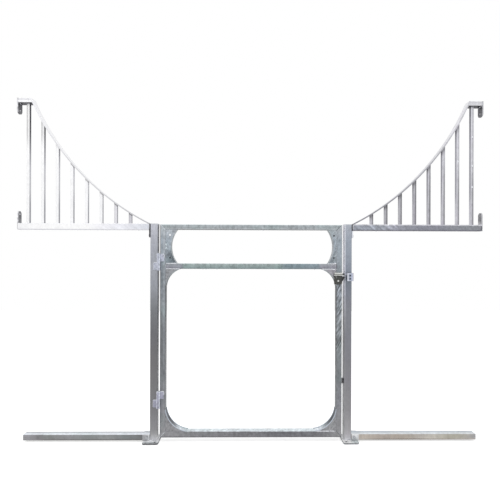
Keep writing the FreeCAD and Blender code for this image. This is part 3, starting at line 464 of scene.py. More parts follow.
# lugs: blotched, painted lighter on the left wing than the right, with painted shade on their sides and
# undersides, which are darker than in front
lugLook = {"mottle": 0.2, "mottleSize": 0.012, "spangle": 0.08, "patchShare": 0.0}
lugFront = ("x", [(-1.49, 214, 214, 218), (1.49, 182, 182, 186)])
galvanise(["upper_lugs"], lugFront,
    {"right": ("z", [(2.1, 120, 120, 124), (2.14, 92, 92, 96), (2.2, 74, 74, 80)]),
     "left": ("z", [(2.1, 120, 120, 124), (2.14, 100, 100, 104), (2.2, 82, 82, 88)]),
     "up": (190, 190, 194), "down": (90, 90, 94)},
    **lugLook)
galvanise(["lower_lugs"], lugFront,
    {"right": ("z", [(1.4, 150, 150, 154), (1.44, 108, 108, 112), (1.48, 122, 122, 126)]),
     "left": ("z", [(1.4, 206, 206, 209), (1.43, 126, 126, 130), (1.45, 128, 128, 132),
         (1.48, 150, 150, 154)]),
     "up": (190, 190, 194), "down": (90, 90, 94)},
    **lugLook)
# end plates: painted dark as shade, darkest on the left; the right one is painted light on a band lower
# down
galvanise(["wing_end_plates"],
    ("x", [(-0.64, 58, 58, 62), (0.64, 88, 90, 96)]), {"up": (190, 190, 196)},
    [("z", 1.29, 1.358, 0.003, ("x", [(-0.64, 70, 70, 74), (0.64, 224, 227, 234)]))], mottle=0.06)

# Posts, feet and floor rails
# left post: painted lighter near the floor and towards the top, darker in between, as painted light;
# its side faces are painted in shade that deepens upward, and their front halves take the front's tones
# as a highlight on the rounded corner
postTones = [
    (0, 236, 236, 240), (0.012, 226, 226, 230), (0.03, 188, 188, 191), (0.05, 156, 156, 158),
    (0.08, 138, 138, 140), (0.2, 122, 122, 124), (0.5, 112, 111, 113), (0.7, 108, 108, 112),
    (0.85, 122, 124, 128), (1, 151, 154, 161), (1.1, 162, 165, 172), (1.25, 170, 173, 181),
    (1.34, 184, 186, 194), (1.4, 198, 200, 208)]
postSideShade = ("z", [(0, 215, 215, 216), (0.25, 205, 205, 207), (0.5, 170, 170, 172),
    (0.85, 112, 112, 116), (1, 78, 78, 84), (1.4, 78, 78, 86)])
postLook = {"mottle": 0.024, "spangle": 0.035, "grainLines": 0.03, "patch": (248, 246, 255)}
galvanise(["post_left"], ("z", postTones),
    {"right": postSideShade, "left": postSideShade}, over=[("y", -0.04, -0.008, 0.006, ("z", postTones))],
    **postLook)
# right post: painted lighter near the floor and towards the top, as painted light; its left face is
# painted in light and its right face in shade, with a painted highlight along its left front corner
rightTones = [
    (0, 240, 240, 243), (0.012, 224, 224, 229), (0.03, 186, 185, 190), (0.05, 168, 166, 170),
    (0.08, 154, 153, 156), (0.2, 136, 135, 138), (0.5, 125, 125, 130), (0.9, 128, 130, 138),
    (1.02, 122, 129, 138), (1.1, 140, 147, 159), (1.3, 156, 164, 175), (1.4, 176, 181, 190)]
cornerHighlight = ("z", [(0, 190, 190, 193), (0.1, 148, 148, 151), (0.5, 138, 138, 142),
    (0.68, 138, 138, 143), (0.78, 160, 161, 167), (0.88, 178, 179, 187), (1.02, 196, 199, 209),
    (1.4, 208, 210, 218)])
galvanise(["post_right"], ("z", rightTones),
    {"left": ("z", [(0, 190, 190, 193), (0.1, 162, 162, 164), (0.4, 146, 146, 150),
        (0.6, 118, 118, 123), (0.75, 120, 120, 126), (0.85, 142, 142, 149), (0.95, 172, 173, 181),
        (1.02, 206, 207, 215), (1.1, 226, 227, 235), (1.4, 228, 229, 237)]),
     "right": ("z", [(0, 150, 150, 152), (1, 120, 122, 130), (1.4, 150, 152, 160)])},
    [("x", 0.597, 0.609, 0.003, cornerHighlight)], **postLook)
feetLook = {**lugLook, "patchShare": 0.1, "metal": 0.25, "rough": 0.55}
# feet: tops painted light as highlights, fronts darker with a lighter strip along the bottom edge,
# undersides in painted shade
galvanise(["base_plate_left"], (66, 66, 70),
    {"up": ("y", [(-0.07, 206, 210, 212), (-0.055, 200, 204, 206), (-0.044, 248, 249, 252),
        (0.07, 240, 241, 245)]),
     "down": (110, 110, 112)},
    [("z", 0.0, 0.0045, 0.0015, (166, 166, 170))], **feetLook)
galvanise(["base_plate_right"], (140, 143, 147),
    {"up": ("x", [(0.632, 255, 255, 255), (0.655, 222, 228, 230), (0.688, 206, 214, 216)]),
     "down": (120, 120, 124)},
    [("z", 0.0, 0.0045, 0.0015, (206, 206, 210))], **feetLook)
# caps: painted lighter on top, as painted light
galvanise(["post_caps"], (190, 192, 199), {"up": (222, 223, 228)}, patchShare=0.1)
floorLook = {"grainLines": 0.06, "linesAlong": "x", "mottle": 0.08, "mottleSize": 0.028}
leftRun = ("x", [(-1.44, 144, 143, 147), (-1.4, 139, 138, 142), (-1.36, 130, 129, 132),
    (-1.27, 132, 132, 133), (-1.16, 140, 140, 143), (-0.92, 139, 141, 142), (-0.86, 131, 133, 135),
    (-0.8, 124, 127, 129), (-0.7, 119, 119, 121)])
rightRun = ("x", [(0.73, 182, 174, 165), (0.82, 171, 162, 154), (1.04, 169, 162, 154),
    (1.1, 176, 171, 165), (1.18, 184, 180, 172), (1.29, 168, 165, 154), (1.35, 171, 168, 158),
    (1.41, 166, 164, 160), (1.44, 156, 156, 158)])
# painted shade: the lower edge of each rail, by the floor, is darker, and so is the far half of its
# top, whose front edge is painted lighter as a highlight; undersides are in painted shade
leftLowerShade = ("z", 0.0, 0.021, 0.006, ("x", [
    (-1.42, 140, 139, 142), (-1.3, 116, 114, 114), (-1.1, 108, 107, 106), (-0.7, 106, 105, 104)]))
rightLowerShade = ("z", 0.0, 0.021, 0.006, ("x", [
    (0.73, 170, 163, 156), (0.82, 134, 127, 120), (1.04, 134, 127, 121), (1.16, 162, 155, 148),
    (1.3, 163, 157, 149), (1.42, 170, 165, 160)]))
leftTopHighlight = ("y", [(-0.006, 229, 233, 240), (0.004, 196, 199, 205)])
rightTopHighlight = ("y", [(-0.006, 219, 224, 229), (0.004, 190, 198, 206)])
galvanise(["floor_rail_left"], leftRun,
    {"up": leftTopHighlight, "down": (100, 100, 100)}, [leftLowerShade], **floorLook)
galvanise(["floor_rail_right"], rightRun,
    {"up": rightTopHighlight, "down": (110, 106, 100)}, [rightLowerShade], patch=(255, 250, 240), **floorLook)
earLook = {"mottle": 0.1, "mottleSize": 0.012, "metal": 0.4}
# ears: painted lighter towards the post on the left, upward on the right, and on top, as painted light
galvanise(["rail_ears_left"],
    ("x", [(-0.694, 160, 160, 163), (-0.665, 186, 186, 189), (-0.65, 222, 222, 225)]),
    {"up": (224, 225, 230)}, **earLook)
galvanise(["rail_ears_right"],
    ("z", [(0.01, 196, 198, 200), (0.028, 212, 213, 215), (0.05, 232, 232, 234)]),
    {"up": (236, 237, 241)}, **earLook)

# Gate leaf
# leaf: painted lighter towards the top, as painted light, over the zinc's own blotches
leafTones = [
    (0.05, 142, 142, 145), (0.13, 136, 136, 139), (0.25, 130, 131, 137), (0.4, 118, 121, 125),
    (0.6, 123, 127, 131), (0.8, 128, 133, 138), (0.95, 136, 141, 149), (1.05, 132, 138, 144),
    (1.1, 140, 147, 154), (1.2, 156, 165, 173), (1.3, 158, 167, 176), (1.37, 178, 182, 188),
    (1.4, 184, 188, 194)]
green = {"patch": (238, 250, 246), "patchShare": 0.5, "mottle": 0.085, "mottleSize": 0.017,
         "spangle": 0.075, "spangleSize": 0.012}
# the stiles' inner faces are painted in shade
leafInnerShade = ("z", [(0.2, 104, 106, 110), (0.6, 80, 82, 86), (1, 62, 64, 69), (1.4, 92, 96, 102)])
hingeStile = [
    (0.05, 142, 142, 145), (0.13, 134, 134, 138), (0.25, 124, 125, 131), (0.38, 118, 120, 124),
    (0.5, 108, 111, 115), (0.6, 112, 115, 119), (0.76, 116, 120, 124), (0.88, 140, 146, 151),
    (0.95, 132, 138, 145), (1.05, 126, 132, 138), (1.1, 138, 145, 152), (1.2, 154, 163, 171),
    (1.3, 158, 167, 176), (1.37, 178, 182, 188), (1.4, 184, 188, 194)]
innerHalf = ("z", [(0.06, 150, 150, 153), (0.12, 142, 142, 146), (0.18, 146, 147, 151),
    (0.25, 128, 129, 134), (0.38, 134, 136, 140), (0.44, 112, 114, 119), (0.57, 134, 138, 142),
    (0.7, 126, 130, 135), (0.76, 138, 143, 148), (0.82, 154, 160, 165), (1.07, 156, 162, 168),
    (1.2, 164, 171, 178), (1.4, 184, 188, 194)])
# hinge stile: painted lighter towards the top and on top, in painted shade underneath, with a painted
# shadow line along its outer edge
galvanise(["gate_stile_hinge_side"], ("z", hingeStile),
    {"right": leafInnerShade, "left": leafInnerShade, "up": (208, 216, 221), "down": (96, 98, 102)},
    over=[("x", -0.587, -0.579, 0.002, (104, 108, 112)), ("x", -0.568, -0.551, 0.007, innerHalf)],
    grainLines=0.06, **green)
# top rail: painted highlight lines along its front, lighter on top, with painted shade underneath
topRailHighlights = ("z", [(1.36, 158, 162, 166), (1.368, 178, 182, 186), (1.374, 160, 166, 170),
    (1.38, 170, 176, 180), (1.386, 160, 167, 171), (1.395, 184, 190, 194)])
galvanise(["gate_rail_top"], topRailHighlights,
    {"up": (210, 218, 223), "down": (88, 90, 94)}, grainLines=0.09, linesAlong="x", **green)
# middle rail: each tint painted darker along the rail's lower edge and lighter towards its top, as
# painted light; lighter on top, with painted shade underneath
middleGreen = ("z", [(1.11, 126, 140, 142), (1.125, 144, 158, 158), (1.145, 162, 173, 172)])
middleGrey = ("z", [(1.11, 132, 133, 142), (1.125, 150, 150, 160), (1.145, 164, 166, 172)])
middleBlue = ("z", [(1.11, 116, 127, 134), (1.125, 132, 145, 153), (1.145, 136, 150, 158)])
galvanise(["gate_rail_middle"], middleGreen,
    {"up": (208, 216, 221), "down": (92, 94, 98)},
    [("x", 0.17, 0.5, 0.06, middleBlue), ("x", -0.6, -0.425, 0.03, middleGrey),
     ("x", 0.425, 0.6, 0.03, middleGrey)],
    grainLines=0.05, linesAlong="x", **green)
# bottom rail: darker along its lower edge, lighter on top, with painted shade underneath
bottomTones = ("x", [(-0.5, 138, 138, 141), (-0.3, 126, 126, 129), (0, 122, 122, 126),
    (0.2, 108, 108, 113), (0.4, 114, 114, 118), (0.52, 134, 134, 137), (0.585, 146, 146, 148)])
galvanise(["gate_rail_bottom"], bottomTones,
    {"up": (218, 226, 231), "down": (92, 94, 98)}, [("z", 0.02, 0.036, 0.006, (100, 100, 104))],
    grainLines=0.05, linesAlong="x",
    **{**green, "patchShare": 0.15, "mottle": 0.13, "mottleSize": 0.02})
# latch stile: painted lighter towards the top and on top, with its inner face in painted shade
galvanise(["gate_stile_latch_side"], ("z", leafTones),
    {"right": (150, 152, 156), "left": leafInnerShade, "up": (208, 216, 221)}, streak=0.5, streakTurn=26,
    streakIn=("z", 0.52, 1.1), streakScale=(105, 10, 14), **green)
# gussets: their edge faces are painted in shade at most heights, lighter at the lowest edge and above
# the middle rail
gussetRimShade = ("z", [(0.067, 214, 220, 226), (0.085, 204, 210, 216), (0.105, 120, 124, 130),
    (0.13, 66, 68, 74), (0.21, 72, 74, 80), (1, 76, 78, 84), (1.11, 84, 86, 92), (1.14, 160, 164, 168),
    (1.36, 142, 148, 152)])
rimFaces = dict.fromkeys(("up", "down", "left", "right"), gussetRimShade)
# the upper gussets are darker along their lower part
gussetLowerDark = ("x", [(-0.55, 140, 148, 156), (-0.5, 106, 112, 119), (0.45, 104, 111, 118),
    (0.5, 118, 126, 133), (0.55, 150, 158, 164)])
gussetLook = {"mottle": 0.13, "mottleSize": 0.014, "spangle": 0.09, "spangleSize": 0.009,
              "patch": (236, 250, 246), "patchShare": 0.5, "streak": 0.1, "streakTurn": 35,
              "streakScale": (140, 10, 24)}
galvanise([f"{level}_gusset_{side}" for level in ("upper", "lower") for side in ("left", "right")],
    ("z", leafTones), rimFaces, [("z", 1.12, 1.24, 0.04, gussetLowerDark)], **gussetLook)
middleTones = ("x", [(-0.55, 148, 150, 154), (-0.4, 150, 152, 156), (0.4, 168, 164, 172),
    (0.55, 158, 156, 163)])
galvanise(["middle_gusset_left", "middle_gusset_right"], middleTones, rimFaces,
    mottle=0.16, mottleSize=0.012, spangle=0.09, spangleSize=0.009, patchShare=0.2)

# Fittings
hingeLook = {"mottle": 0.16, "mottleSize": 0.011, "spangle": 0.06, "patch": (246, 244, 255)}
# hinges: the lower one is painted dark below and nearly white above, as a painted highlight; tops and
# sides painted light, undersides in painted shade
hingeTones = ("z", [(0.2, 150, 151, 165), (0.322, 162, 163, 179), (0.333, 226, 226, 236),
    (0.36, 236, 236, 244), (1.05, 182, 186, 200), (1.25, 188, 192, 206)])
galvanise([f"{level}_hinge_{half}" for level in ("upper", "lower") for half in ("pintle", "eye")],
    hingeTones, {"up": (236, 238, 244), "down": (90, 92, 104), "left": (222, 225, 234),
                 "right": (234, 238, 248)}, **hingeLook)
# the gate stop is painted nearly white, lighter than its zinc, as painted light against the shade it
# sits in
galvanise(["gate_stop"], (250, 250, 253), mottle=0.03, metal=0.1, rough=0.7)
dress(platedZinc("platedFasteners"), "rail_bolts", "wing_bolts", "keeper_bolts", "hinge_pins")
dress(platedZinc("platedPivot", (214, 214, 212)), "latch_pivot")
# latch bolt: a painted highlight along its lower side and a painted dark reflection above it; beyond
# the guide it is plain grey-violet
boltReflections = ("z", [(1.05, 120, 120, 122), (1.0645, 190, 190, 192), (1.067, 250, 250, 250),
    (1.072, 248, 248, 248), (1.0745, 52, 52, 54), (1.083, 46, 46, 48), (1.085, 90, 90, 92)])
dress(platedZinc("platedBolt", boltReflections, 0.15,
    [("x", 0.596, 0.7, 0.003, (172, 175, 188))]), "latch_bolt")
# latch guide: two painted highlight lines along its barrel, darker below and between them
barrelHighlights = ("z", [(1.01, 96, 94, 88), (1.0655, 84, 84, 82), (1.067, 150, 150, 148),
    (1.0685, 250, 250, 248), (1.0725, 250, 250, 248), (1.0745, 132, 134, 130), (1.0795, 132, 134, 130),
    (1.0815, 232, 233, 229), (1.086, 226, 227, 223), (1.09, 140, 141, 138)])
dress(platedZinc("platedGuide", barrelHighlights, 0.15), "latch_guide")
keeperTones = ("x", [(0.612, 226, 229, 238), (0.624, 206, 211, 226), (0.636, 176, 184, 208),
    (0.645, 200, 205, 222), (0.653, 206, 200, 206)])
keeperStains = ("z", [(1.038, 196, 201, 216), (1.044, 130, 138, 154), (1.055, 130, 138, 154),
    (1.06, 184, 190, 205), (1.065, 126, 134, 150), (1.075, 126, 134, 150), (1.08, 196, 201, 216)])
dress(platedZinc("platedKeeper", keeperTones, 0.3,
    [("x", 0.62, 0.638, 0.003, keeperStains)]), "latch_keeper")
dress(blackCoat("blackLever"), "latch_lever")
print("materials done")


# New pieces: rods grown ring by ring, for weld beads, threads and hexagon heads

def facingAlong(start, direction):
    return Matrix.Translation(start) @ direction.to_track_quat("Z", "Y").to_matrix().to_4x4()


def growRod(mesh, start, direction, sides, profile):
    # closed rod: starts with the first radius and is extruded to each (distance, radius) after it
    start, direction = Vector(start), Vector(direction).normalized()
    at, size = profile[0]
    place = facingAlong(start, direction)
    ring = bmesh.ops.create_circle(mesh, cap_ends=True, segments=sides, radius=size,
                                   matrix=place)["verts"]
    cap = ring[0].link_faces[0]
    for distance, radius in profile[1:]:
        grown = bmesh.ops.extrude_face_region(mesh, geom=[cap])["geom"]
        ring = [item for item in grown if isinstance(item, bmesh.types.BMVert)]
        cap = next(item for item in grown if isinstance(item, bmesh.types.BMFace))
        bmesh.ops.translate(mesh, verts=ring, vec=direction * (distance - at))
        centre = start + direction * distance
        bmesh.ops.scale(mesh, verts=ring, vec=(radius / size,) * 3,
                        space=Matrix.Translation(-centre))
        at, size = distance, radius


def linked(name, data):
    made = bpy.data.objects.new(name, data)
    bpy.context.collection.objects.link(made)
    return made


def meshObject(mesh, name, material):
    data = bpy.data.meshes.new(name)
    mesh.to_mesh(data)
    mesh.free()
    data.materials.append(material)
    return linked(name, data)


def finishPiece(mesh, name, material, body, smooth=True):
    bmesh.ops.recalc_face_normals(mesh, faces=mesh.faces)
    for face in mesh.faces:
        face.smooth = smooth
    piece = meshObject(mesh, name, material)
    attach(piece, body)
    return piece


random.seed(11)
beadLook = {"ripple": 0.0045, "fewest": 3, "sides": 6,  # length of a ripple
            "neck": 0.82, "spread": 0.08, "endSize": 0.6}  # shares of the bead's radius


def layBead(mesh, start, end, radius):
    start, end = Vector(start), Vector(end)
    length = (end - start).length
    steps = max(beadLook["fewest"], round(length / beadLook["ripple"]))
    profile = [(0, radius * beadLook["endSize"])]
    for step in range(1, steps):
        swell = 1.0 if step % 2 else beadLook["neck"]
        swell *= random.uniform(1 - beadLook["spread"], 1 + beadLook["spread"])
        profile.append((length * step / steps, radius * swell))
    profile.append((length, radius * beadLook["endSize"]))
    growRod(mesh, start, end - start, beadLook["sides"], profile)


def layBeads(name, material, body, runs, radius):
    mesh = bmesh.new()
    for start, end in runs:
        layBead(mesh, start, end, radius)
    finishPiece(mesh, name, material, body)


def bothSides(runs):  # the same runs on the left too
    mirror = Vector((-1, 1, 1))
    return runs + [tuple(Vector(end) * mirror for end in run) for run in runs]


Box = namedtuple("Box", "x0 y0 z0 x1 y1 z1")


def edges(name):
    low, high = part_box(name)
    return Box(*low, *high)


def around(box, inner, outer):  # round an upright tube: its end's heights at the two sides
    corners = [(box.x0, box.y0, inner), (box.x1, box.y0, outer),
               (box.x1, box.y1, outer), (box.x0, box.y1, inner)]
    return list(zip(corners, corners[1:] + corners[:1]))


# the two ends of a run: up a face, along a tube, or through its depth
def upright(x, y, low, high):
    return (x, y, low), (x, y, high)


def along(y, z, start, end):
    return (start, y, z), (end, y, z)


def through(x, z, near, far):
    return (x, near, z), (x, far, z)


def underCurve(x):
    return curve["z"] - math.sqrt(curve["under"] ** 2 - (x - curve["x"]) ** 2)


# weld beads: painted shade on their undersides, the leaf's painted lighter towards the top; the nearly
# white ones are painted highlights
frameBeads = zinc("zincFrameBeads", (204, 205, 210), {"down": (120, 120, 126)},
    mottle=0.07, mottleSize=0.02, spangle=0.05, patchShare=0.0)
leafBeads = zinc("zincLeafBeads",
    ("z", [(0.0, 150, 150, 154), (1.0, 150, 154, 160), (1.4, 176, 182, 188)]),
    {"down": (96, 98, 104)}, mottle=0.09, mottleSize=0.02, spangle=0.06, patchShare=0.0)
highlightBeads = zinc("zincHighlightBeads", (240, 242, 247), {"down": (140, 142, 148)},
    mottle=0.05, mottleSize=0.015, patchShare=0.0)

# wings: bars on the rail and under the curve, end plates, lugs, top tube and curve
wingWelds = {"bar": 0.0022, "plate": 0.0028, "seam": 0.0016,  # radius of each bead
             "short": 0.003, "topShort": 0.002,  # how far it ends from a corner
             "curveFoot": 0.007, "lowerLug": 0.019}  # half the lower lug's width
rail, tube = edges("wing_rail_right"), edges("top_tube_right")
front, back = rail.y0, -rail.y0
short, topShort = wingWelds["short"], wingWelds["topShort"]
barRuns = []
for name in bars("right"):
    bar = edges(name)
    barRuns += around(bar, bar.z0, bar.z0)
    barRuns += around(bar, *(min(underCurve(x), bar.z1) for x in (bar.x0, bar.x1)))
plateRuns = [upright(rail.x0, y, rail.z0 + short, rail.z1 - short) for y in (front, back)]
curveFoot = rail.x0 + wingWelds["curveFoot"]
plateRuns += [through(rail.x0, rail.z0, front + short, back - short),
              through(curveFoot, rail.z1, front, back)]
lug = wingWelds["lowerLug"]
plateRuns += [through(rail.x1, rail.z1, -lug, lug)]
plateRuns += [upright(rail.x1, y, rail.z0, rail.z1) for y in (-lug, lug)]
plateRuns += [through(rail.x1, tube.z0, front + topShort, back - topShort)]
seamRuns = [upright(rail.x1, y, tube.z0 + short, tube.z1 - short) for y in (front, back)]
curveEnd = edges("curved_bar_right").x1
seamRuns += [through(curveEnd, tube.z1, front + topShort, back - topShort)]
layBeads("barWelds", frameBeads, "frame", bothSides(barRuns), wingWelds["bar"])
layBeads("wingPlateWelds", frameBeads, "frame", bothSides(plateRuns), wingWelds["plate"])
layBeads("wingSeams", frameBeads, "frame", bothSides(seamRuns), wingWelds["seam"])

# posts on their feet, ears on the feet, lower hinge halves and the gate stop on the posts
postWelds = {"foot": 0.0036, "ear": 0.0026, "strap": 0.0024, "strapTop": 0.0032,
             "overlap": 0.001, "short": 0.004}
post, foot, ears = edges("post_right"), edges("base_plate_right"), edges("rail_ears_right")
earStart, postSide = ears.x0 + postWelds["overlap"], -post.x0 - postWelds["overlap"]
footRuns = around(post, foot.z1, foot.z1)
earRuns = [along(y, foot.z1, earStart, foot.x1) for y in (-ears.y1, ears.y1)]
strapRuns, topRuns = [], []
for level in ("upper", "lower"):
    strap = edges(f"{level}_hinge_pintle")
    low, high = strap.z0 + postWelds["short"], strap.z1 - postWelds["short"]
    strapRuns.append(along(post.y0, low, strap.x0, postSide))
    topRuns += [upright(strap.x0, post.y0, low, high),
                along(post.y0, high, strap.x0, postSide)]
stop = edges("gate_stop")
strapRuns += [along(post.y1, z, post.x0, stop.x1) for z in (stop.z0, stop.z1)]
strapRuns += [upright(stop.x1, post.y1, stop.z0, stop.z1)]
layBeads("footWelds", highlightBeads, "frame", bothSides(footRuns), postWelds["foot"])
layBeads("earWelds", frameBeads, "frame", bothSides(earRuns), postWelds["ear"])
layBeads("pintleWelds", frameBeads, "frame", strapRuns, postWelds["strap"])
layBeads("pintleTopWelds", highlightBeads, "frame", topRuns, postWelds["strapTop"])

# leaf: mitres, middle rail, gussets, upper hinge halves and the latch guide
leafWelds = {"seam": 0.0015, "gusset": 0.0021, "bright": 0.0033,
             "short": 0.003, "overlap": 0.001, "eyeShort": 0.004, "eyeFoot": 0.02,
             "guideShort": 0.002}
stile, topRail = edges("gate_stile_latch_side"), edges("gate_rail_top")
middle, bottom = edges("gate_rail_middle"), edges("gate_rail_bottom")
inner, outer = stile.x0, stile.x1
gussetBox = edges("upper_gusset_right")
gussetFaces = (gussetBox.y0, gussetBox.y1)
short = leafWelds["short"]
corner = outer - short
mitreRuns = []
for y in (stile.y0, stile.y1):
    mitreRuns += [((corner, y, topRail.z1 - short), (inner, y, topRail.z0)),
                  ((corner, y, bottom.z0 + short), (inner, y, bottom.z1)),
                  upright(inner, y, middle.z0 + short, middle.z1 - short)]
# mitre seams: painted lighter on the left and darker on the right, as painted light
seamLook = zinc("zincLeafSeams",
    ("x", [(-0.58, 208, 212, 218), (-0.5, 190, 194, 200), (0.5, 96, 98, 104), (0.58, 88, 90, 96)]),
    mottle=0.12, mottleSize=0.015, patchShare=0.0)
layBeads("leafSeams", seamLook, "gate", bothSides(mitreRuns), leafWelds["seam"])
gussetRuns, highlightRuns = [], []
gussetRails = {"upper": (middle.z1, topRail.z0), "middle": (middle.z0,), "lower": (bottom.z1,)}
for side, sign in (("left", -1), ("right", 1)):
    for level, heights in gussetRails.items():
        box = edges(f"{level}_gusset_{side}")
        far = box.x0 if side == "right" else box.x1
        for y in gussetFaces:
            gussetRuns.append(upright(sign * inner, y, box.z0, box.z1))
            for z in heights:
                # front beads below the top rail, all but the lower left gusset's, are painted as
                # highlights
                bright = y < 0 and z < topRail.z0 and (side, level) != ("left", "lower")
                runs = highlightRuns if bright else gussetRuns
                runs.append(along(y, z, sign * inner, far))
layBeads("gussetWelds", leafBeads, "gate", gussetRuns, leafWelds["gusset"])
layBeads("highlightWelds", highlightBeads, "gate", highlightRuns, leafWelds["bright"])
leafFront, eyeShort = stile.y0, leafWelds["eyeShort"]
leafSide = -outer + leafWelds["overlap"]
eyeRuns, hingeRuns = [], []
for level in ("upper", "lower"):
    eye = edges(f"{level}_hinge_eye")
    low, high = eye.z0 + eyeShort, eye.z1 - eyeShort
    eyeRuns.append(along(leafFront, low, leafSide, eye.x1))
    hingeRuns += [upright(eye.x1, leafFront, low + leafWelds["eyeFoot"], high),
                  along(leafFront, high, leafSide, eye.x1)]
guide, guideShort = edges("latch_guide"), leafWelds["guideShort"]
eyeRuns += [upright(guide.x1, leafFront, guide.z0 + eyeShort, guide.z1 - eyeShort)]
eyeRuns += [along(leafFront, z, inner + guideShort, guide.x1 - guideShort)
            for z in (guide.z0, guide.z1)]
layBeads("eyeWelds", leafBeads, "gate", eyeRuns, leafWelds["gusset"])
layBeads("eyeTopWelds", highlightBeads, "gate", hingeRuns, leafWelds["bright"])

# the curved edges of the leaf's gussets, where the zinc hangs thick: points are (x, z)
gussetArcs = {
    "lower": {"centre": (0.3911, 0.2259), "start": (0.410, 0.067), "end": (0.550, 0.207),
              "thick": 0.003},
    "middle": {"centre": (0.4257, 0.9893), "start": (0.550, 1.002), "end": (0.458, 1.110),
               "thick": 0.0015}}
edgeSides, edgeSteps = 8, 18


def spinEdge(mesh, arc, side, y):
    centre, start, end = (Vector((arc[key][0], y, arc[key][1]))
                          for key in ("centre", "start", "end"))
    first, last = start - centre, end - centre
    place = facingAlong(start, first.cross(Vector((0, 1, 0))))
    ring = bmesh.ops.create_circle(mesh, segments=edgeSides, radius=arc["thick"],
                                   matrix=place)["verts"]
    rim = list({edge for vert in ring for edge in vert.link_edges})
    bmesh.ops.spin(mesh, geom=ring + rim, cent=centre, axis=(0, 1, 0), steps=edgeSteps,
                   angle=first.xz.angle_signed(last.xz))
    bmesh.ops.holes_fill(mesh, edges=[edge for edge in mesh.edges if edge.is_boundary], sides=0)
    if side < 0:  # the left ones are made first, so only they still stand on the right
        fresh = [vert for vert in mesh.verts if vert.co.x > 0]
        bmesh.ops.scale(mesh, verts=fresh, vec=(-1, 1, 1))


edgeLook = zinc("zincGussetEdges",
    ("z", [(0.06, 192, 200, 210), (0.21, 176, 184, 196), (1.0, 160, 168, 172),
        (1.12, 164, 172, 176)]), mottle=0.06, mottleSize=0.01, spangle=0.04)
edgeMesh = bmesh.new()
for side in (-1, 1):
    for arc in gussetArcs.values():
        for y in gussetFaces:
            spinEdge(edgeMesh, arc, side, y)
finishPiece(edgeMesh, "gussetEdges", edgeLook, "gate")

# zinc left standing after the dip: blobs on the faces, and drips under the level tubes
blobLook = {"fineness": 2, "dents": 0.08, "dripOff": 0.012,
            "drip": 0.0045, "dripSizes": (0.6, 1.1), "dripShape": (0.8, 0.8, 0.9),
            "bar": 0.0052, "barShape": (0.8, 0.35, 1.5),
            "top": 0.005, "topShape": (0.8, 0.8, 1.0), "topIn": 0.004, "topOff": 0.01}


def dropBlobs(name, material, body, places):
    dents = blobLook["dents"]
    mesh = bmesh.new()
    for place, size, shape in places:
        space = Matrix.Translation(place) @ Matrix.Diagonal((*shape, 1))
        made = bmesh.ops.create_icosphere(mesh, subdivisions=blobLook["fineness"],
                                          radius=size, matrix=space)
        for vert in made["verts"]:
            vert.co += Vector([random.uniform(-dents, dents) * size for _ in range(3)])
    finishPiece(mesh, name, material, body)


def drips(xRange, z, count):
    off = blobLook["dripOff"]
    return [((random.uniform(*xRange), random.uniform(-off, off), z),
             blobLook["drip"] * random.uniform(*blobLook["dripSizes"]), blobLook["dripShape"])
            for _ in range(count)]


# place, radius and stretch of each blob
leafSpots = [
    ((-0.5222, gussetFaces[0], 1.3267), 0.0075, (1, 0.3, 1)),
    ((-0.5476, gussetFaces[0], 1.2657), 0.006, (1, 0.4, 1.4)),
    ((-0.5475, gussetFaces[0], 1.2433), 0.006, (1, 0.4, 1.2)),
    ((-0.5595, leafFront, 1.3635), 0.005, (1.6, 0.3, 0.6)),
    ((0.5405, gussetFaces[0], 1.1475), 0.006, (1.2, 0.4, 0.8)),
    ((0.5330, gussetFaces[0], 1.1075), 0.0055, (1.4, 0.4, 0.7))]
for reach, level, count in ((0.4, topRail.z0, 4), (0.42, middle.z0, 5), (0.5, bottom.z0, 5)):
    leafSpots += drips((-reach, reach), level, count)
# the blobs are painted nearly white as highlights, greyer by the stiles, with painted shade underneath
spotLook = zinc("zincSpots",
    ("x", [(-0.56, 198, 208, 212), (-0.54, 204, 214, 218), (-0.53, 242, 244, 248),
        (0.5, 236, 238, 244), (0.545, 220, 222, 230)]),
    {"down": (140, 142, 148)}, mottle=0.05, mottleSize=0.015, patchShare=0.0)
dropBlobs("leafBlobs", spotLook, "gate", leafSpots)
barBlobs = {7: (1.813,), 8: (1.973, 1.784, 1.647)}  # heights on the two outer right bars
wingReach, wingDrips, floorDrips = (0.72, 1.42), 6, 4
frameSpots = []
for number, heights in barBlobs.items():
    bar = edges(f"infill_bar_{number}_right")
    frameSpots += [(((bar.x0 + bar.x1) / 2, bar.y0, z), blobLook["bar"], blobLook["barShape"])
                   for z in heights]
for side in (-1, 1):
    reach = sorted(side * x for x in wingReach)
    frameSpots += drips(reach, rail.z0, wingDrips)
    frameSpots += drips(reach, edges("floor_rail_right").z0, floorDrips)
    off = random.uniform(-blobLook["topOff"], blobLook["topOff"])
    frameSpots += [((side * (rail.x1 - blobLook["topIn"]), off, tube.z0),
                    blobLook["top"], blobLook["topShape"])]
dropBlobs("frameBlobs", highlightBeads, "frame", frameSpots)
print("welds and zinc drips done")

# Bolts: hexagon heads and nuts with bevelled corners, and threads that stand out of the nuts
boltLook = {"chamfer": 0.0011, "chamferRise": 0.6, "corner": 0.9, "threadSides": 16,
            "pitch": 0.0013, "root": 0.87, "tip": 0.8, "tipLength": 0.001, "hidden": 0.002}
tenBolt = {"flats": 0.017, "head": 0.0064, "nut": 0.008, "radius": 0.005, "standOut": 0.003}
eightBolt = {"flats": 0.013, "head": 0.0053, "nut": 0.0065, "radius": 0.004, "standOut": 0.003}
boltPlaces = {"railX": 0.666, "railUp": 0.019, "wingDown": 0.075, "postWall": 0.003,
              "keeperY": -0.012, "keeperStep": 0.014}


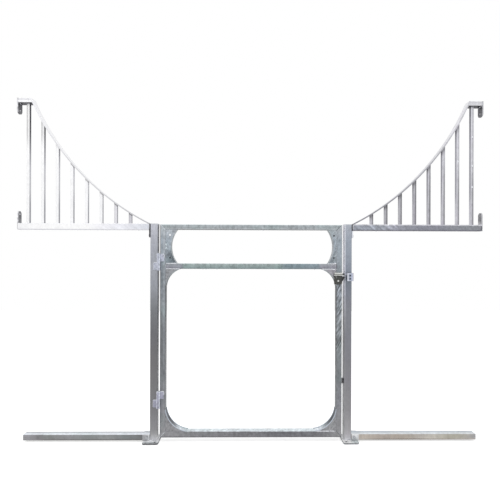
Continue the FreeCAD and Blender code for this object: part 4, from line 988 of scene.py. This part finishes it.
def hexHead(mesh, start, direction, flats, height):
    radius, bevel = flats / math.sqrt(3), boltLook["chamfer"]
    corner = radius * boltLook["corner"]
    growRod(mesh, start, direction, 6,
            [(0, corner), (bevel * boltLook["chamferRise"], radius), (height - bevel, radius),
             (height, corner)])


def threadRod(mesh, start, direction, radius, plain, length):
    pitch = boltLook["pitch"]
    profile = [(0, radius), (plain, radius)]
    for turn in range(int((length - plain - boltLook["tipLength"]) / pitch)):
        at = plain + turn * pitch
        profile += [(at + pitch * 0.5, radius * boltLook["root"]), (at + pitch, radius)]
    profile.append((length, radius * boltLook["tip"]))
    growRod(mesh, start, direction, boltLook["threadSides"], profile)


def boltSet(name, replaced, size, places):
    # places: where each bolt's head sits, which way it runs, and its grip
    mesh = bmesh.new()
    for start, direction, grip in places:
        start, direction = Vector(start), Vector(direction)
        hexHead(mesh, start - direction * size["head"], direction, size["flats"], size["head"])
        hexHead(mesh, start + direction * grip, direction, size["flats"], size["nut"])
        threadRod(mesh, start, direction, size["radius"], grip - boltLook["hidden"],
                  grip + size["nut"] + size["standOut"])
    piece = finishPiece(mesh, name, platedSteel, "frame", smooth=False)
    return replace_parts(piece, replaced)


platedSteel = platedZinc("platedBolts", (176, 178, 182))
railZ = foot.z1 + boltPlaces["railUp"]
boltSet("railBolts", "rail_bolts", tenBolt, [
    ((side * boltPlaces["railX"], ears.y0, railZ), (0, 1, 0), -2 * ears.y0) for side in (-1, 1)])
wallInside = post.x1 - boltPlaces["postWall"]
boltSet("wingBolts", "wing_bolts", tenBolt, [
    ((side * rail.x0, 0, rail.z1 - boltPlaces["wingDown"]), (-side, 0, 0), rail.x0 - wallInside)
    for side in (-1, 1)])
keeper, step = edges("latch_keeper"), boltPlaces["keeperStep"]
keeperMid = (keeper.z0 + keeper.z1) / 2
boltSet("keeperBolts", "keeper_bolts", eightBolt, [
    ((keeper.x1, boltPlaces["keeperY"], keeperMid + up), (-1, 0, 0), keeper.x1 - wallInside)
    for up in (-step, step)])
print("bolts done")

# Floor, light and camera
studio = {"worldLevel": 0.8, "floorColour": (0.8, 0.8, 0.8), "floorGlow": 0.6, "floorSize": 14,
          "floorDrop": 0.0005, "lampSize": 2.2}
lamps = {"keyLamp": {"place": (-2.2, -2.4, 4.6), "aim": (-0.4, 0, 1.2), "power": 24},
         "fillLamp": {"place": (2.4, -2.2, 4.2), "aim": (0.4, 0, 1.0), "power": 10}}
view = {"place": (-0.0387, -2.596, 1.148), "turn": (90, -0.166, -0.673), "lens": 28.8,
        "sensor": 36, "shiftUp": 0.0262}


def makeFloor():
    mesh = bmesh.new()
    bmesh.ops.create_grid(mesh, x_segments=1, y_segments=1, size=studio["floorSize"] / 2)
    f = Finish("studioFloor")
    level = f.inSight() * studio["floorGlow"]
    glow = f.node("ShaderNodeCombineColor", None, [level, level, level])
    matt = f.set(colour=(*studio["floorColour"], 1), rough=1.0, specular=0.0, glow=glow,
                 glowStrength=1.0)
    floor = meshObject(mesh, "studioFloor", matt)
    floor.location.z = -studio["floorDrop"]


def makeWorld():
    world = bpy.data.worlds.new("studioWorld")
    bpy.context.scene.world = world
    sky = NodeTree(world)
    level = sky.node("ShaderNodeMapRange", None,
                     {"Value": sky.inSight(), "To Min": studio["worldLevel"], "To Max": 1.0})
    back = sky.tree.nodes["Background"]
    sky.feed(back.inputs["Color"], (1, 1, 1, 1))
    sky.feed(back.inputs["Strength"], level)


def makeLamp(name, look):
    data = bpy.data.lights.new(name, "AREA")
    data.size = studio["lampSize"]
    data.energy = look["power"]
    lamp = linked(name, data)
    lamp.location = look["place"]
    toAim = Vector(look["aim"]) - Vector(look["place"])
    lamp.rotation_euler = toAim.to_track_quat("-Z", "Y").to_euler()


def makeCamera():
    data = bpy.data.cameras.new("camera")
    data.sensor_width = view["sensor"]
    data.lens = view["lens"]
    data.shift_y = view["shiftUp"]
    camera = linked("camera", data)
    turn = Euler([math.radians(angle) for angle in view["turn"]])
    camera.matrix_world = Matrix.LocRotScale(Vector(view["place"]), turn, None)
    bpy.context.scene.camera = camera


makeFloor()
makeWorld()
for name, look in lamps.items():
    makeLamp(name, look)
makeCamera()
bpy.context.scene.view_settings.view_transform = "Standard"
print("floor, light and camera done")
